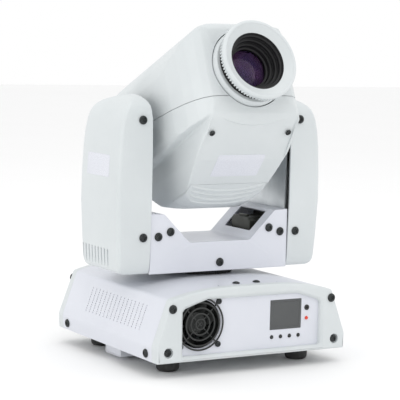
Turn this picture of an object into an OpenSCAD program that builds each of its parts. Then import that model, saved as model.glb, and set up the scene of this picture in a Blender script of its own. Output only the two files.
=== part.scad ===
// Moving head spot light: base, pan yoke and tilting head, shown with the head raised.
// Origin on the pan axis at floor level, +Z up, the display side of the base faces -Y.

/* [Base] */
// Width of the base bezels at their widest (mm)
base_width = 260; // [240:1:280]
// Depth of the base over both bezels (mm)
base_depth = 259; // [240:1:280]
// Height of the underside of the base above the floor (mm)
base_floor_z = 18; // [14:1:24]
// Height of the crease where the slanted flanks end (mm)
crease_z = 90; // [80:1:96]
// Half width of the base at that crease (mm)
crease_half = 111; // [100:1:118]
// Rise of the crowned top above the crease (mm)
crown_rise = 11.7; // [4:0.1:16]
// Wall thickness of the folded base cover (mm)
cover_wall = 2; // [1:0.5:3]
// Depth of each plastic bezel front to back (mm)
bezel_depth = 13.8; // [10:0.2:18]
// Lean of the bezel faces (degrees)
bezel_lean = 2.2; // [0:0.1:6]
// Half width of the window in each bezel (mm)
window_half = 95; // [80:1:100]

/* [Fan] */
// Edge length of the axial fan frame (mm)
fan_size = 60; // [60:1:60]
// Hole pitch of the fan (mm)
fan_pitch = 50; // [50:1:50]
// Thickness of the fan frame (mm)
fan_thick = 25; // [15:1:25]
// Sideways position of the fan centre (mm)
fan_x = -70.7; // [-80:0.1:-60]
// Height of the fan centre (mm)
fan_z = 59.8; // [50:0.1:64]

/* [Display] */
// Width of the display window (mm)
display_w = 44; // [36:1:50]
// Height of the display window (mm)
display_h = 35.5; // [28:0.5:40]
// Radius of a menu button (mm)
button_r = 2.1; // [1.5:0.1:3]
// Travel of a menu button (mm)
button_travel = 0.6; // [0.3:0.1:1]
// Pitch of the menu buttons (mm)
button_pitch = 12.6; // [10:0.1:16]

/* [Pan] */
// Radius of the fixed hollow pan shaft (mm)
pan_shaft_r = 20; // [14:0.5:24]
// Radial running clearance of the shafts (mm)
run_gap = 0.05; // [0.02:0.01:0.09]
// Radius of the dark pan collar on the base (mm)
collar_r = 39; // [32:1:44]

/* [Yoke] */
// Height of the underside of the yoke (mm)
yoke_z = 107; // [106:0.5:112]
// Half depth of the crossbar (mm)
bar_half_y = 47; // [40:1:52]
// Position of the inner edge of the arms (mm)
arm_in = 97; // [90:1:102]
// Position of the outer face of the arms at their widest (mm)
arm_out = 141.5; // [130:0.5:146]
// Height of the arm tops (mm)
arm_top = 318.5; // [300:0.5:330]
// Half depth of the arms at their widest (mm)
arm_half_y = 50; // [44:1:56]
// Half width of the flat floor of the crossbar trough (mm)
trough_half = 42.4; // [36:0.2:50]
// Height of the floor of the crossbar trough (mm)
trough_z = 143.5; // [135:0.5:150]
// Height of the crossbar shoulders (mm)
shoulder_z = 178.5; // [170:0.5:182]
// Half width at the top of the trough slants (mm)
shoulder_half = 77.5; // [70:0.5:84]

/* [Tilt] */
// Height of the tilt axis (mm)
tilt_z = 278; // [270:1:285]
// Upward angle of the lens at rest (degrees)
rest_tilt = 24; // [0:1:45]
// Radius of the tilt trunnions (mm)
trunnion_r = 12; // [8:0.5:14]
// Radius of the tilt pulley (mm)
tilt_pulley_r = 32; // [24:1:36]

/* [Head] */
// Half width of the head shells (mm)
head_half = 82; // [74:1:86]
// Wall thickness of the head shells (mm)
shell_wall = 2.5; // [2:0.1:3]
// Height of the lens axis above the tilt axis in the head frame (mm)
lens_w = 28.5; // [20:0.5:34]
// Outer radius of the focus ring (mm)
ring_r = 49; // [40:0.5:52]
// Radius of the dark opening inside the ring (mm)
opening_r = 34.7; // [28:0.1:38]
// Radius of the front lens (mm)
lens_r = 24; // [18:0.5:28]

/* [Hidden] */
eps = 0.01;
hw = base_width/2;
hd = base_depth/2;
panel_y = -hd + 8;
panel_t = 2;
cover_half_y = hd - bezel_depth;
button_z = 36.9;
button_x0 = 29.2;
disp_x = 48.2;
disp_z = 63.3;
belt_gap = 0.4;
pan_belt_z = 113;
pan_pulley_r = 30;
pinion_r = 7;
pan_motor_x = -64;
tilt_motor_z = 146;
tilt_belt_x = 104;
screw_r = 5.2;
frame_y = panel_y + panel_t;
wheel_w = -6;

// ---------- shared shapes ----------
function crown(x) = crease_z + crown_rise*(1 - pow(min(1, abs(x)/crease_half), 3));

module base_outline(o = 0, up = 0) {
  n = 9;
  polygon(concat(
    [[-hw + 1.5 + o, base_floor_z - up], [-hw + o, 36], [-crease_half + o*0.95, crease_z - o*0.6]],
    [for (i = [1:2*n - 1]) let (x = -crease_half + i*crease_half/n) [x*(1 - o/crease_half), crown(x) - o]],
    [[crease_half - o*0.95, crease_z - o*0.6], [hw - o, 36], [hw - 1.5 - o, base_floor_z - up]]
  ));
}

module along_y(y0, y1) {
  translate([0, y1, 0]) rotate([90, 0, 0]) linear_extrude(y1 - y0) children();
}

module along_x(x0, x1) {
  translate([x0, 0, 0]) rotate([90, 0, 90]) linear_extrude(x1 - x0) children();
}

module window_outline(g = 0) {
  polygon([[-window_half - g, 24 - g], [window_half + g, 24 - g], [window_half + g, 75 + g*0.6],
    [91.5 + g*0.7, 79 + g*0.8], [62, 88.2 + g], [-62, 88.2 + g], [-91.5 - g*0.7, 79 + g*0.8],
    [-window_half - g, 75 + g*0.6]]);
}

module rod_y(x, z, r, y0, y1) {
  translate([x, y0, z]) rotate([-90, 0, 0]) cylinder(r = r, h = y1 - y0, $fn = 48);
}

module rod_x(y, z, r, x0, x1) {
  translate([x0, y, z]) rotate([0, 90, 0]) cylinder(r = r, h = x1 - x0, $fn = 64);
}

// Button head screw, axis along Z, head up, seated on z = 0.
module dome_screw(r = screw_r, shank = 6) {
  rotate_extrude($fn = 40) polygon(concat(
    [[0, -shank], [1.9, -shank], [1.9, 0], [r, 0], [r, r*0.12]],
    [for (a = [20:20:60]) [r*cos(a), r*0.12 + r*0.42*sin(a)]],
    [[1.6, r*0.53], [1.4, 0.6], [0, 0.6]]
  ));
}

module screw_front(x, y, z, r = screw_r, shank = 6) {
  translate([x, y, z]) rotate([90, 0, 0]) dome_screw(r, shank);
}

module head_frame() {
  translate([0, 0, tilt_z]) rotate([-rest_tilt, 0, 0]) children();
}

// Solid of revolution about the optical axis, profile in (radius, distance ahead).
module optic(pts, fn = 96) {
  translate([0, 0, lens_w]) rotate([90, 0, 0]) rotate_extrude($fn = fn) polygon(pts);
}

// ---------- base body ----------
module bezel_solid() {
  intersection() {
    difference() {
      along_y(-hd - 2, -cover_half_y) base_outline();
      along_y(-hd - 3, -cover_half_y + 1) window_outline();
      // bevel round the window
      translate([0, -hd, base_floor_z]) rotate([-bezel_lean, 0, 0]) translate([0, 0, -base_floor_z])
        hull() {
          along_y(-1, -0.9) window_outline(4);
          along_y(3, 3.1) window_outline(0);
        }
      // hollow behind the face
      difference() {
        along_y(-hd + 10, -cover_half_y + 1) base_outline(3, 5);
        along_y(-hd - 3, -cover_half_y + 2) window_outline(3);
      }
      // seat of the panel
      along_y(panel_y - 0.1, -cover_half_y + 1) window_outline(6);
      // room for the fan guard
      rod_y(fan_x, fan_z, 32.4, panel_y - 3.7, panel_y + 0.1);
      for (z = [-1, 1]) {
        rod_y(fan_x - fan_pitch/2, fan_z + z*fan_pitch/2, 4.4, panel_y - 3.7, panel_y + 0.1);
        rod_y(fan_x - fan_pitch/2, fan_z + z*fan_pitch/2, 2.6, panel_y - 0.1, -cover_half_y + 1);
      }
      for (s = [-1, 1]) {
        rod_y(s*109.5, 80.2, 2.2, -hd - 3, -cover_half_y + 1);
        rod_y(s*114.5, 30.2, 2.2, -hd - 3, -cover_half_y + 1);
        rod_y(s*114.5, 30.2, 5.8, -hd - 3, -hd + 3.4);
      }
    }
    translate([0, -hd, base_floor_z]) rotate([-bezel_lean, 0, 0])
      translate([-200, 0, -60]) cube([400, 60, 220]);
  }
}

module base_plate() {
  color("silver") difference() {
    union() {
      translate([-124, -113, base_floor_z]) cube([248, 226, 2]);
      for (s = [-1, 1]) {
        translate([s*123 - 1, -113, base_floor_z]) cube([2, 226, 18]);
      }
      // lips that carry the two panels
      for (s = [-1, 1]) {
        translate([-100, s*112.2 - 0.8, base_floor_z]) cube([200, 1.6, 5]);
      }
      // folded tab for the safety cable
      translate([-12, 95, base_floor_z - 14]) cube([24, 2, 15]);
      // sleeve around the pan shaft
      translate([0, 0, base_floor_z]) cylinder(r = pan_shaft_r + 5, h = 10, $fn = 64);
    }
    translate([0, 0, base_floor_z - 1]) cylinder(r = pan_shaft_r, h = 20, $fn = 64);
    for (x = [-90, 90], y = [-84, 84]) {
      translate([x, y, base_floor_z - 1]) cylinder(r = 2.6, h = 4, $fn = 32);
    }
    for (x = [-60, 60], y = [-12, 12]) {
      translate([x, y, base_floor_z - 1]) cylinder(r = 2.6, h = 4, $fn = 32);
    }
    for (s = [-1, 1], y = [-102, 102]) {
      rod_x(y, 26.8, 2.6, s*123 - 4, s*123 + 4);
    }
    rod_y(0, base_floor_z - 7, 5, 90, 100);
  }
}

module base_cover() {
  color("white") difference() {
    along_y(-cover_half_y + 0.1, cover_half_y - 0.1) base_outline();
    along_y(-cover_half_y - 1, cover_half_y + 1) base_outline(cover_wall, 5);
    // perforated cooling columns in both flanks
    for (s = [-1, 1]) {
      for (i = [0:16]) {
        for (j = [0:7]) {
          translate([s*124, -76 + i*8.5, 52.5 + j*3.3]) cube([24, 2.2, 1.9], center = true);
        }
      }
    }
    translate([0, 0, 80]) cylinder(r = pan_shaft_r + 1, h = 40, $fn = 64);
    for (s = [-1, 1]) {
      translate([s*14, 108, 80]) cylinder(r = 2, h = 40, $fn = 32);
      translate([s*14, -108, 80]) cylinder(r = 2, h = 40, $fn = 32);
      translate([s*40.5, -111.5, 80]) cylinder(r = 1.3, h = 40, $fn = 24);
      for (y = [-102, 102]) {
        rod_x(y, 26.8, 2.1, s*128 - 8, s*128 + 8);
      }
    }
  }
}

module front_bezel() {
  color("whitesmoke") bezel_solid();
}

module rear_bezel() {
  color("whitesmoke") rotate([0, 0, 180]) bezel_solid();
}

module panel_blank(y0) {
  along_y(y0, y0 + panel_t) window_outline(5.8);
}

module front_panel() {
  color("white") difference() {
    panel_blank(panel_y);
    rod_y(fan_x, fan_z, 28.6, panel_y - 1, panel_y + 4);
    for (x = [-1, 1], z = [-1, 1]) {
      rod_y(fan_x + x*fan_pitch/2, fan_z + z*fan_pitch/2, 2.1, panel_y - 1, panel_y + 4);
    }
    translate([disp_x - display_w/2 - 0.1, panel_y - 1, disp_z - display_h/2 - 0.1])
      cube([display_w + 0.2, 4, display_h + 0.2]);
    for (i = [0:3]) {
      rod_y(button_x0 + i*button_pitch, button_z, button_r + 0.4, panel_y - 1, panel_y + 4);
    }
    rod_y(78, 69.6, 2.7, panel_y - 1, panel_y + 4);
    rod_y(77.9, 56.9, 2.2, panel_y - 1, panel_y + 4);
  }
}

module rear_panel() {
  color("white") difference() {
    panel_blank(-panel_y - panel_t);
    translate([46 - 14, -panel_y - 4, 40]) cube([28, 8, 20.4]);
    rod_y(46, 77, 6.6, -panel_y - 4, -panel_y + 4);
    rod_y(0, 54, 12.2, -panel_y - 4, -panel_y + 4);
    rod_y(-44, 54, 12.2, -panel_y - 4, -panel_y + 4);
    for (x = [26, 66]) {
      rod_y(x, 50.2, 1.7, -panel_y - 4, -panel_y + 4);
    }
    for (x = [-44, 0], s = [-1, 1]) {
      rod_y(x + s*9.5, 54 + s*12, 1.7, -panel_y - 4, -panel_y + 4);
    }
  }
}

module display_window() {
  color("dimgray") translate([disp_x - display_w/2, panel_y - 0.6, disp_z - display_h/2])
    cube([display_w, 3, display_h]);
}

module menu_button(i) {
  x = button_x0 + i*button_pitch;
  color("black") union() {
    rod_y(x, button_z, button_r, panel_y - 1.2, panel_y + 4.2);
    rod_y(x, button_z, button_r + 1.4, panel_y + panel_t + 0.5, panel_y + panel_t + 1.4);
  }
}

module menu_button_1() { menu_button(0); }
module menu_button_2() { menu_button(1); }
module menu_button_3() { menu_button(2); }
module menu_button_4() { menu_button(3); }

module microphone() {
  color("black") difference() {
    union() {
      rod_y(78, 69.6, 2.6, panel_y - 1, panel_y + 4);
      rod_y(78, 69.6, 3.4, panel_y - 1.2, panel_y - 0.05);
    }
    rod_y(78, 69.6, 1, panel_y - 2, panel_y + 1);
  }
}

module status_led() {
  color("red") union() {
    rod_y(77.9, 56.9, 2.1, panel_y - 0.4, panel_y + 4);
    translate([77.9, panel_y - 0.4, 56.9]) intersection() {
      sphere(r = 2.1, $fn = 32);
      translate([-3, -3, -3]) cube([6, 3.01, 6]);
    }
  }
}

module fan_guard() {
  y0 = panel_y - 2.4;
  color("black") union() {
    for (r = [6, 12.4, 18.8, 25.2, 30.2]) {
      translate([fan_x, y0, fan_z]) rotate([90, 0, 0]) rotate_extrude($fn = 72)
        translate([r, 0]) circle(r = 0.8, $fn = 12);
    }
    // two bent carriers with an eye at each corner
    for (a = [45, 135]) {
      translate([fan_x, y0 + 0.9, fan_z]) rotate([0, a, 0]) translate([-31.9, -0.6, -0.8])
        cube([63.8, 1.2, 1.6]);
    }
    for (x = [-1, 1], z = [-1, 1]) {
      difference() {
        rod_y(fan_x + x*fan_pitch/2, fan_z + z*fan_pitch/2, 3.6, y0 + 0.8, panel_y - 0.05);
        rod_y(fan_x + x*fan_pitch/2, fan_z + z*fan_pitch/2, 2.2, y0 - 1, panel_y + 1);
      }
    }
  }
}

module fan_frame() {
  f = fan_size/2;
  color("black") translate([fan_x, frame_y + 0.1, fan_z]) union() {
    difference() {
      translate([-f, 0, -f]) cube([fan_size, fan_thick, fan_size]);
      rod_y(0, 0, 28.4, -1, fan_thick + 1);
      for (x = [-1, 1], z = [-1, 1]) {
        rod_y(x*fan_pitch/2, z*fan_pitch/2, 2.15, -1, fan_thick + 1);
        translate([x*f, 4, z*f]) rotate([-90, 0, 0]) cylinder(r = 9.4, h = fan_thick - 8, $fn = 40);
      }
    }
    difference() {
      union() {
        rod_y(0, 0, 14, fan_thick - 3, fan_thick);
        for (a = [20:90:290]) {
          rotate([0, a, 0]) translate([12, fan_thick - 3, -1.3]) cube([17.4, 3, 2.6]);
        }
      }
      rod_y(0, 0, 2, fan_thick - 4, fan_thick + 1);
    }
  }
}

module fan_rotor() {
  color("black") translate([fan_x, frame_y + 0.1, fan_z]) union() {
    rod_y(0, 0, 13, 3, fan_thick - 3.6);
    rod_y(0, 0, 2 - run_gap, fan_thick - 4, fan_thick - 0.4);
    for (a = [0:360/7:359]) {
      rotate([0, a, 0]) translate([12, 5, -1])
        rotate([-38, 0, 0]) translate([0, -1, -6]) cube([14.6, 1.4, 15]);
    }
  }
}

module power_inlet() {
  color("black") translate([46, -panel_y, 50.2]) difference() {
    union() {
      translate([-13.9, -22, -10.1]) cube([27.8, 22, 20.2]);
      translate([-25, 0.05, -11.5]) cube([50, 2.4, 23]);
    }
    translate([-12, -15, -8.2]) cube([24, 20, 16.4]);
    for (s = [-1, 1]) {
      rod_y(s*20, 0, 1.7, -3, 4);
    }
  }
  for (x = [-7, 0, 7]) {
    color("gold") translate([46 + x - 1, -panel_y - 15.5, 47.2 + (x == 0 ? 3 : 0)]) cube([2, 13.5, 4]);
  }
}

module fuse_cap() {
  color("black") translate([46, -panel_y, 77]) rotate([-90, 0, 0]) difference() {
    union() {
      translate([0, 0, -24]) cylinder(r = 6.4, h = 24, $fn = 48);
      translate([0, 0, 0.05]) cylinder(r = 8, h = 4, $fn = 48);
    }
    translate([-5, -0.7, 3]) cube([10, 1.4, 3]);
  }
}

module data_socket(x, pins) {
  color("black") translate([x, -panel_y, 54]) difference() {
    union() {
      rod_y(0, 0, 12, -24, 0.5);
      translate([-13, 0.05, -15.5]) cube([26, 2.2, 31]);
    }
    rod_y(0, 0, 9.4, pins ? -16 : -2, 4);
    for (s = [-1, 1]) {
      rod_y(s*9.5, s*12, 1.7, -3, 4);
    }
    if (!pins) {
      for (a = [30, 150, 270]) {
        rod_y(5*cos(a), 5*sin(a), 1.5, -16, 1);
      }
    }
  }
  if (pins) {
    color("gold") translate([x, -panel_y, 54]) for (a = [30, 150, 270]) {
      rod_y(5*cos(a), 5*sin(a), 1.2, -16.5, -3);
    }
  }
}

module data_in_socket() { data_socket(-44, true); }
module data_out_socket() { data_socket(0, false); }

module feet() {
  color("black") for (x = [-90, 90], y = [-84, 84]) {
    translate([x, y, 0]) difference() {
      rotate_extrude($fn = 64) polygon(concat([[0, 0]],
        [for (a = [0:15:75]) [9.2 + 4.4*sin(a), 4.6 - 4.6*cos(a)]],
        [[14.1, base_floor_z - 0.05], [0, base_floor_z - 0.05]]));
      translate([0, 0, -1]) cylinder(r = 4.6, h = 9, $fn = 40);
      cylinder(r = 2.6, h = 30, $fn = 32);
    }
  }
}

module clamp_bracket() {
  color("gainsboro") difference() {
    along_x(-118, 118) polygon([[-19.5, 7.2], [-19.5, 5.2], [19.5, 5.2], [19.5, 7.2],
      [19.5, base_floor_z - 0.05], [5, base_floor_z - 0.05], [5, 15.9], [17.5, 15.9],
      [17.5, 7.2], [-17.5, 7.2], [-17.5, 15.9], [-5, 15.9], [-5, base_floor_z - 0.05],
      [-19.5, base_floor_z - 0.05]]);
    for (x = [-90, 0, 90]) {
      translate([x, 0, 0]) cylinder(r = 6.25, h = 12, $fn = 48);
    }
    for (x = [-60, 60], y = [-12, 12]) {
      translate([x, y, 0]) cylinder(r = 2.6, h = 40, $fn = 32);
    }
  }
}

module base_screws() {
  lean_y = (80.2 - base_floor_z)*tan(bezel_lean);
  color("black") union() {
    for (s = [-1, 1]) {
      for (a = [0, 180]) {
        rotate([0, 0, a]) {
          translate([s*109.5, -hd + lean_y - 0.4, 80.2]) rotate([90 - bezel_lean, 0, 0])
            dome_screw(screw_r, 8);
          translate([s*114.5, -hd + 3.35, 30.2]) rotate([90, 0, 0]) dome_screw(4.6, 7);
          translate([s*14, -108, crown(14) + 0.1]) dome_screw(4.4, 6);
        }
      }
      for (y = [-102, 102]) {
        translate([s*(hw - 0.65), y, 26.8]) rotate([0, s*93, 0]) dome_screw(screw_r, 9);
      }
    }
  }
}

module panel_screws() {
  color("black") union() {
    for (x = [-1, 1], z = [-1, 1]) {
      translate([fan_x + x*fan_pitch/2, panel_y - 1.65, fan_z + z*fan_pitch/2]) rotate([90, 0, 0])
        dome_screw(3.3, 10);
    }
    for (x = [26, 66]) {
      translate([x, -panel_y + 2.5, 50.2]) rotate([-90, 0, 0]) scale([0.8, 0.8, 0.8])
        dome_screw(3, 8);
    }
    for (x = [-44, 0], s = [-1, 1]) {
      translate([x + s*9.5, -panel_y + 2.3, 54 + s*12]) rotate([-90, 0, 0]) scale([0.8, 0.8, 0.8])
        dome_screw(3, 8);
    }
  }
}

module power_supply() {
  color("silver") difference() {
    translate([-100, 34, base_floor_z + 2.1]) cube([130, 60, 34]);
    translate([-98, 36, base_floor_z + 4]) cube([126, 56, 40]);
  }
  color("darkgreen") translate([-97.5, 36.5, base_floor_z + 8]) cube([125, 55, 1.6]);
  color("gold") translate([-60, 50, base_floor_z + 9.8]) cube([30, 30, 22]);
}

module control_board() {
  color("darkgreen") translate([18, -110.4, 28]) cube([72, 1.6, 54]);
  // one switch behind each button
  for (i = [0:3]) {
    color("dimgray") translate([button_x0 + i*button_pitch - 3, -115, button_z - 3]) cube([6, 4.7, 6]);
    color("dimgray") rod_y(button_x0 + i*button_pitch, button_z, 1.6, -116.35, -114.9);
  }
  color("dimgray") translate([24, -108.8, 44]) cube([50, 4, 34]);
}

module pan_shaft() {
  color([0.1, 0.1, 0.11]) difference() {
    union() {
      translate([0, 0, base_floor_z - 0.05]) cylinder(r = pan_shaft_r - run_gap, h = 113, $fn = 96);
      translate([0, 0, crown(0) + 0.1]) cylinder(r = collar_r, h = yoke_z - crown(0) - 0.9, $fn = 96);
      for (a = [0:10:350]) {
        rotate([0, 0, a]) translate([collar_r - 1, -1.1, crown(0) + 0.1])
          cube([2.2, 2.2, yoke_z - crown(0) - 1.6]);
      }
    }
    translate([0, 0, 0]) cylinder(r = pan_shaft_r - 4, h = 200, $fn = 96);
  }
}

module pan_pulley() {
  color("gray") translate([0, 0, pan_belt_z + 0.6]) difference() {
    union() {
      cylinder(r = pan_pulley_r, h = 7, $fn = 96);
      cylinder(r = pan_pulley_r + 2.4, h = 0.8, $fn = 96);
      translate([0, 0, 6.2]) cylinder(r = pan_pulley_r + 2.4, h = 0.8, $fn = 96);
    }
    translate([0, 0, -1]) cylinder(r = pan_shaft_r, h = 20, $fn = 96);
  }
}

// ---------- yoke body ----------
module bar_outline(o = 0, up = 0) {
  polygon([[-96.4 + o, yoke_z + 0.5 - up], [96.4 - o, yoke_z + 0.5 - up], [96.4 - o, shoulder_z + 1 - o],
    [shoulder_half + o*0.4, shoulder_z - o], [trough_half + o*0.4, trough_z - o],
    [-trough_half - o*0.4, trough_z - o], [-shoulder_half - o*0.4, shoulder_z - o],
    [-96.4 + o, shoulder_z + 1 - o]]);
}

module yoke_floor() {
  color("silver") difference() {
    translate([-93, -44.6, yoke_z + 0.6]) cube([186, 89.2, 2]);
    translate([0, 0, yoke_z - 1]) cylinder(r = 27, h = 6, $fn = 96);
    translate([pan_motor_x, 0, yoke_z - 1]) cylinder(r = 4, h = 6, $fn = 32);
  }
}

module crossbar_shell() {
  k = atan2(shoulder_z - trough_z, shoulder_half - trough_half);
  color("white") difference() {
    along_y(-bar_half_y, bar_half_y) bar_outline();
    along_y(-bar_half_y + 2, bar_half_y - 2) bar_outline(2, 10);
    // open ends, closed by the arm plates
    for (s = [-1, 1]) {
      translate([s*97 - 3.1, -bar_half_y + 2, yoke_z - 1]) cube([6.2, 2*bar_half_y - 4, 80]);
    }
    // window over the tilt motor
    translate([63, -2, (trough_z + shoulder_z)/2 + 3.2]) rotate([0, -k, 0])
      translate([-16.5, -29.5, -8]) cube([33, 59, 16]);
    for (s = [-1, 1]) {
      for (y = [-1, 1]) {
        rod_y(s*85.7, 152, 2.1, y*bar_half_y - 4, y*bar_half_y + 4);
        rod_y(s*69.3, 157.3, 2.1, y*bar_half_y - 4, y*bar_half_y + 4);
      }
    }
    for (y = [-1, 1]) {
      rod_y(0, 118, 2.1, y*bar_half_y - 4, y*bar_half_y + 4);
    }
  }
}

module arm_plate_blank(x0, x1) {
  along_x(x0, x1) polygon([[-43, yoke_z + 3], [43, yoke_z + 3], [43, 292], [36, 304], [22, 311],
    [-22, 311], [-36, 304], [-43, 292]]);
}

module left_arm_plate() {
  color("gray") difference() {
    arm_plate_blank(-arm_in + 0.9, -arm_in + 2.9);
    rod_x(0, tilt_z, trunnion_r + 7, -arm_in - 1, -arm_in + 5);
    translate([-arm_in - 2, -30, 130]) cube([8, 60, 30]);
  }
}

module right_arm_plate() {
  color("gray") difference() {
    arm_plate_blank(arm_in - 2.9, arm_in - 0.9);
    rod_x(0, tilt_z, trunnion_r + 7, arm_in - 5, arm_in + 1);
    rod_x(0, tilt_motor_z, 11.5, arm_in - 5, arm_in + 1);
  }
}

module arm_front_profile(o = 0) {
  polygon([[arm_in - (o > 0 ? 5 : 0), 108.5 + o], [131 - o*0.5, 109.5 + o], [136 - o, 112.5 + o*0.5],
    [138.2 - o, 119], [139.8 - o, 147], [arm_out - o, 190], [arm_out - 0.4 - o, 225],
    [139.7 - o, 255], [138 - o, 275], [135.6 - o, 289], [132 - o, 299 - o*0.3], [126 - o*0.7, 307 - o*0.7],
    [117.5 - o*0.4, 313 - o], [107 - o*0.2, 317 - o], [arm_in - (o > 0 ? 5 : 0), arm_top - o]]);
}

module arm_side_profile(o = 0) {
  a = arm_half_y - o;
  pts = [[a - 4.5, 108 + o], [a - 2.6, 118], [a - 1.4, 147], [a, 190], [a - 0.8, 255], [a - 2.4, 290],
    [a - 4.5, 301 - o*0.3], [a - 9, 308 - o*0.7], [a - 19, 313.4 - o], [a - 34, 317.2 - o],
    [0, arm_top + 0.4 - o]];
  polygon(concat(pts, [for (i = [len(pts) - 2:-1:0]) [-pts[i][0], pts[i][1]]]));
}

module arm_plan(o = 0) {
  b = arm_half_y + 2 - o;
  r = 9;
  polygon(concat([[arm_in - (o > 0 ? 5 : 0), -b]],
    [for (t = [-90:18:0]) [arm_out + 0.5 - o - r + r*cos(t), -b + r + r*sin(t)]],
    [for (t = [0:18:90]) [arm_out + 0.5 - o - r + r*cos(t), b - r + r*sin(t)]],
    [[arm_in - (o > 0 ? 5 : 0), b]]));
}

module arm_form(o = 0) {
  intersection() {
    along_y(-70, 70) arm_front_profile(o);
    along_x(80, 160) arm_side_profile(o);
    translate([0, 0, 90]) linear_extrude(240) arm_plan(o);
  }
}

module right_arm_cover() {
  color("whitesmoke") difference() {
    arm_form();
    arm_form(2.5);
    // shallow cooling grooves low on the outer face
    for (i = [0:8]) {
      translate([arm_out - 3, -22 + i*8, 100]) cube([10, 3, 37]);
    }
    for (y = [-1, 1]) {
      rod_y(107, 152, 2.1, y*arm_half_y - 7, y*arm_half_y + 7);
      rod_y(110, 290, 2.1, y*arm_half_y - 7, y*arm_half_y + 7);
    }
  }
}

module left_arm_cover() {
  mirror([1, 0, 0]) right_arm_cover();
}

module arm_labels() {
  color("white") for (s = [-1, 1]) {
    translate([s*(arm_out + 0.05) - 0.2, -24, 222]) cube([0.4, 56, 26]);
  }
}

module pan_bearing() {
  color("silver") translate([0, 0, yoke_z + 0.6]) difference() {
    union() {
      cylinder(r = 26.9, h = 4, $fn = 96);
      translate([0, 0, 2.1]) cylinder(r = 29, h = 1.9, $fn = 96);
    }
    translate([0, 0, -1]) cylinder(r = pan_shaft_r, h = 10, $fn = 96);
  }
}

module pan_motor() {
  color("black") union() {
    translate([pan_motor_x - 17.5, -17.5, 122.4]) cube([35, 35, 20]);
    translate([pan_motor_x, 0, 121.2]) cylinder(r = 11, h = 1.7, $fn = 48);
  }
  // stand that carries the motor over its pinion
  color("silver") for (s = [-1, 1]) {
    translate([pan_motor_x - 17.5, s*19 - 1.4, yoke_z + 2.65]) cube([35, 2.8, 30]);
  }
}

module pan_pinion() {
  color("gold") union() {
    translate([pan_motor_x, 0, pan_belt_z + 0.6]) cylinder(r = pinion_r, h = 7, $fn = 48);
    translate([pan_motor_x, 0, pan_belt_z + 0.2]) cylinder(r = pinion_r + 2, h = 0.8, $fn = 48);
  }
}

// Flat belt round two wheels.
module belt2d(r1, r2, d, t) {
  difference() {
    hull() {
      circle(r = r1 + t, $fn = 64);
      translate([d, 0]) circle(r = r2 + t, $fn = 32);
    }
    hull() {
      circle(r = r1, $fn = 64);
      translate([d, 0]) circle(r = r2, $fn = 32);
    }
  }
}

module pan_belt() {
  color("black") translate([0, 0, pan_belt_z + 1.8]) rotate([0, 0, 180]) linear_extrude(4.4)
    belt2d(pan_pulley_r + belt_gap, pinion_r + belt_gap, abs(pan_motor_x), 1.4);
}

module tilt_motor() {
  color("black") translate([57.5, -21, tilt_motor_z - 21]) difference() {
    cube([34, 42, 42]);
    for (y = [0, 42], z = [0, 42]) {
      translate([-1, y, z]) rotate([45, 0, 0]) translate([0, -3, -3]) cube([36, 6, 6]);
    }
  }
  // angle plate that holds the motor against the arm
  color("silver") difference() {
    translate([91.6, -24, 124]) cube([2.2, 48, 46]);
    rod_x(0, tilt_motor_z, 12, 90, 96);
  }
  color("gray") rod_x(0, tilt_motor_z, 11, 91.6, 93.6);
}

module tilt_pinion() {
  color("gold") union() {
    rod_x(0, tilt_motor_z, pinion_r, tilt_belt_x, tilt_belt_x + 7);
    rod_x(0, tilt_motor_z, 2.4, 94.2, tilt_belt_x + 6);
    rod_x(0, tilt_motor_z, pinion_r + 2, tilt_belt_x - 0.6, tilt_belt_x + 0.2);
  }
}

module tilt_belt() {
  color("black") translate([tilt_belt_x + 1.4, 0, tilt_z]) rotate([0, 90, 0]) linear_extrude(4.4)
    belt2d(tilt_pulley_r + belt_gap, pinion_r + belt_gap, tilt_z - tilt_motor_z, 1.4);
}

module tilt_bearings() {
  color("silver") for (s = [-1, 1]) {
    difference() {
      union() {
        rod_x(0, tilt_z, trunnion_r + 6.9, s*95.1 - 2.9, s*95.1 + 2.9);
        rod_x(0, tilt_z, trunnion_r + 9, s*97.1 - 0.9, s*97.1 + 0.9);
      }
      rod_x(0, tilt_z, trunnion_r + run_gap, s*95.1 - 8, s*95.1 + 8);
    }
  }
}

module yoke_screws() {
  color("black") for (a = [0, 180]) {
    rotate([0, 0, a]) {
      for (s = [-1, 1]) {
        screw_front(s*85.7, -bar_half_y - 0.05, 152);
        screw_front(s*69.3, -bar_half_y - 0.05, 157.3);
        translate([s*107, -arm_half_y + 1.05, 152]) rotate([89, 0, 0]) dome_screw(screw_r, 6);
        translate([s*110, -arm_half_y + 2.15, 290]) rotate([87, 0, 0]) dome_screw(screw_r, 6);
      }
      screw_front(0, -bar_half_y - 0.05, 118);
    }
  }
}

// ---------- head body (head frame: lens towards -Y, up +Z, origin on the tilt axis) ----------
module head_side(o = 0) {
  k = o*0.7;
  polygon([[92 - o, 30], [91 - o, 52], [85 - k, 66 - k], [72 - k, 75 - k], [50, 81 - o], [20, 86 - o],
    [-15, 88.5 - o], [-60, 90 - o], [-98, 90.6 - o], [-110 + k, 89 - o], [-117 + k, 85 - k],
    [-120.5 + o, 78 - k], [-121 + o, 60], [-121 + o, -6], [-119.8 + o, -16], [-117.5 + k, -25 + k],
    [-106, -30 + o], [-60, -36 + o], [10, -42 + o], [60, -44 + o], [84 - k, -38 + k], [92 - o, -20]]);
}

module head_plan(o = 0) {
  pts = [[0, 92 - o], [52, 92 - o], [62 - k2(o), 88 - k2(o)], [72 - k2(o), 76], [78.5 - o, 58],
    [head_half - 0.6 - o, 30], [head_half - o, 0], [head_half - 0.6 - o, -34], [79.5 - o, -64],
    [75 - o, -88], [69.5 - o, -103], [63 - o, -113 + o*0.5], [55 - k2(o), -119 + k2(o)],
    [44, -121 + o], [0, -121 + o]];
  polygon(concat(pts, [for (i = [len(pts) - 1:-1:0]) [-pts[i][0], pts[i][1]]]));
}

function k2(o) = o*0.7;

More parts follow.
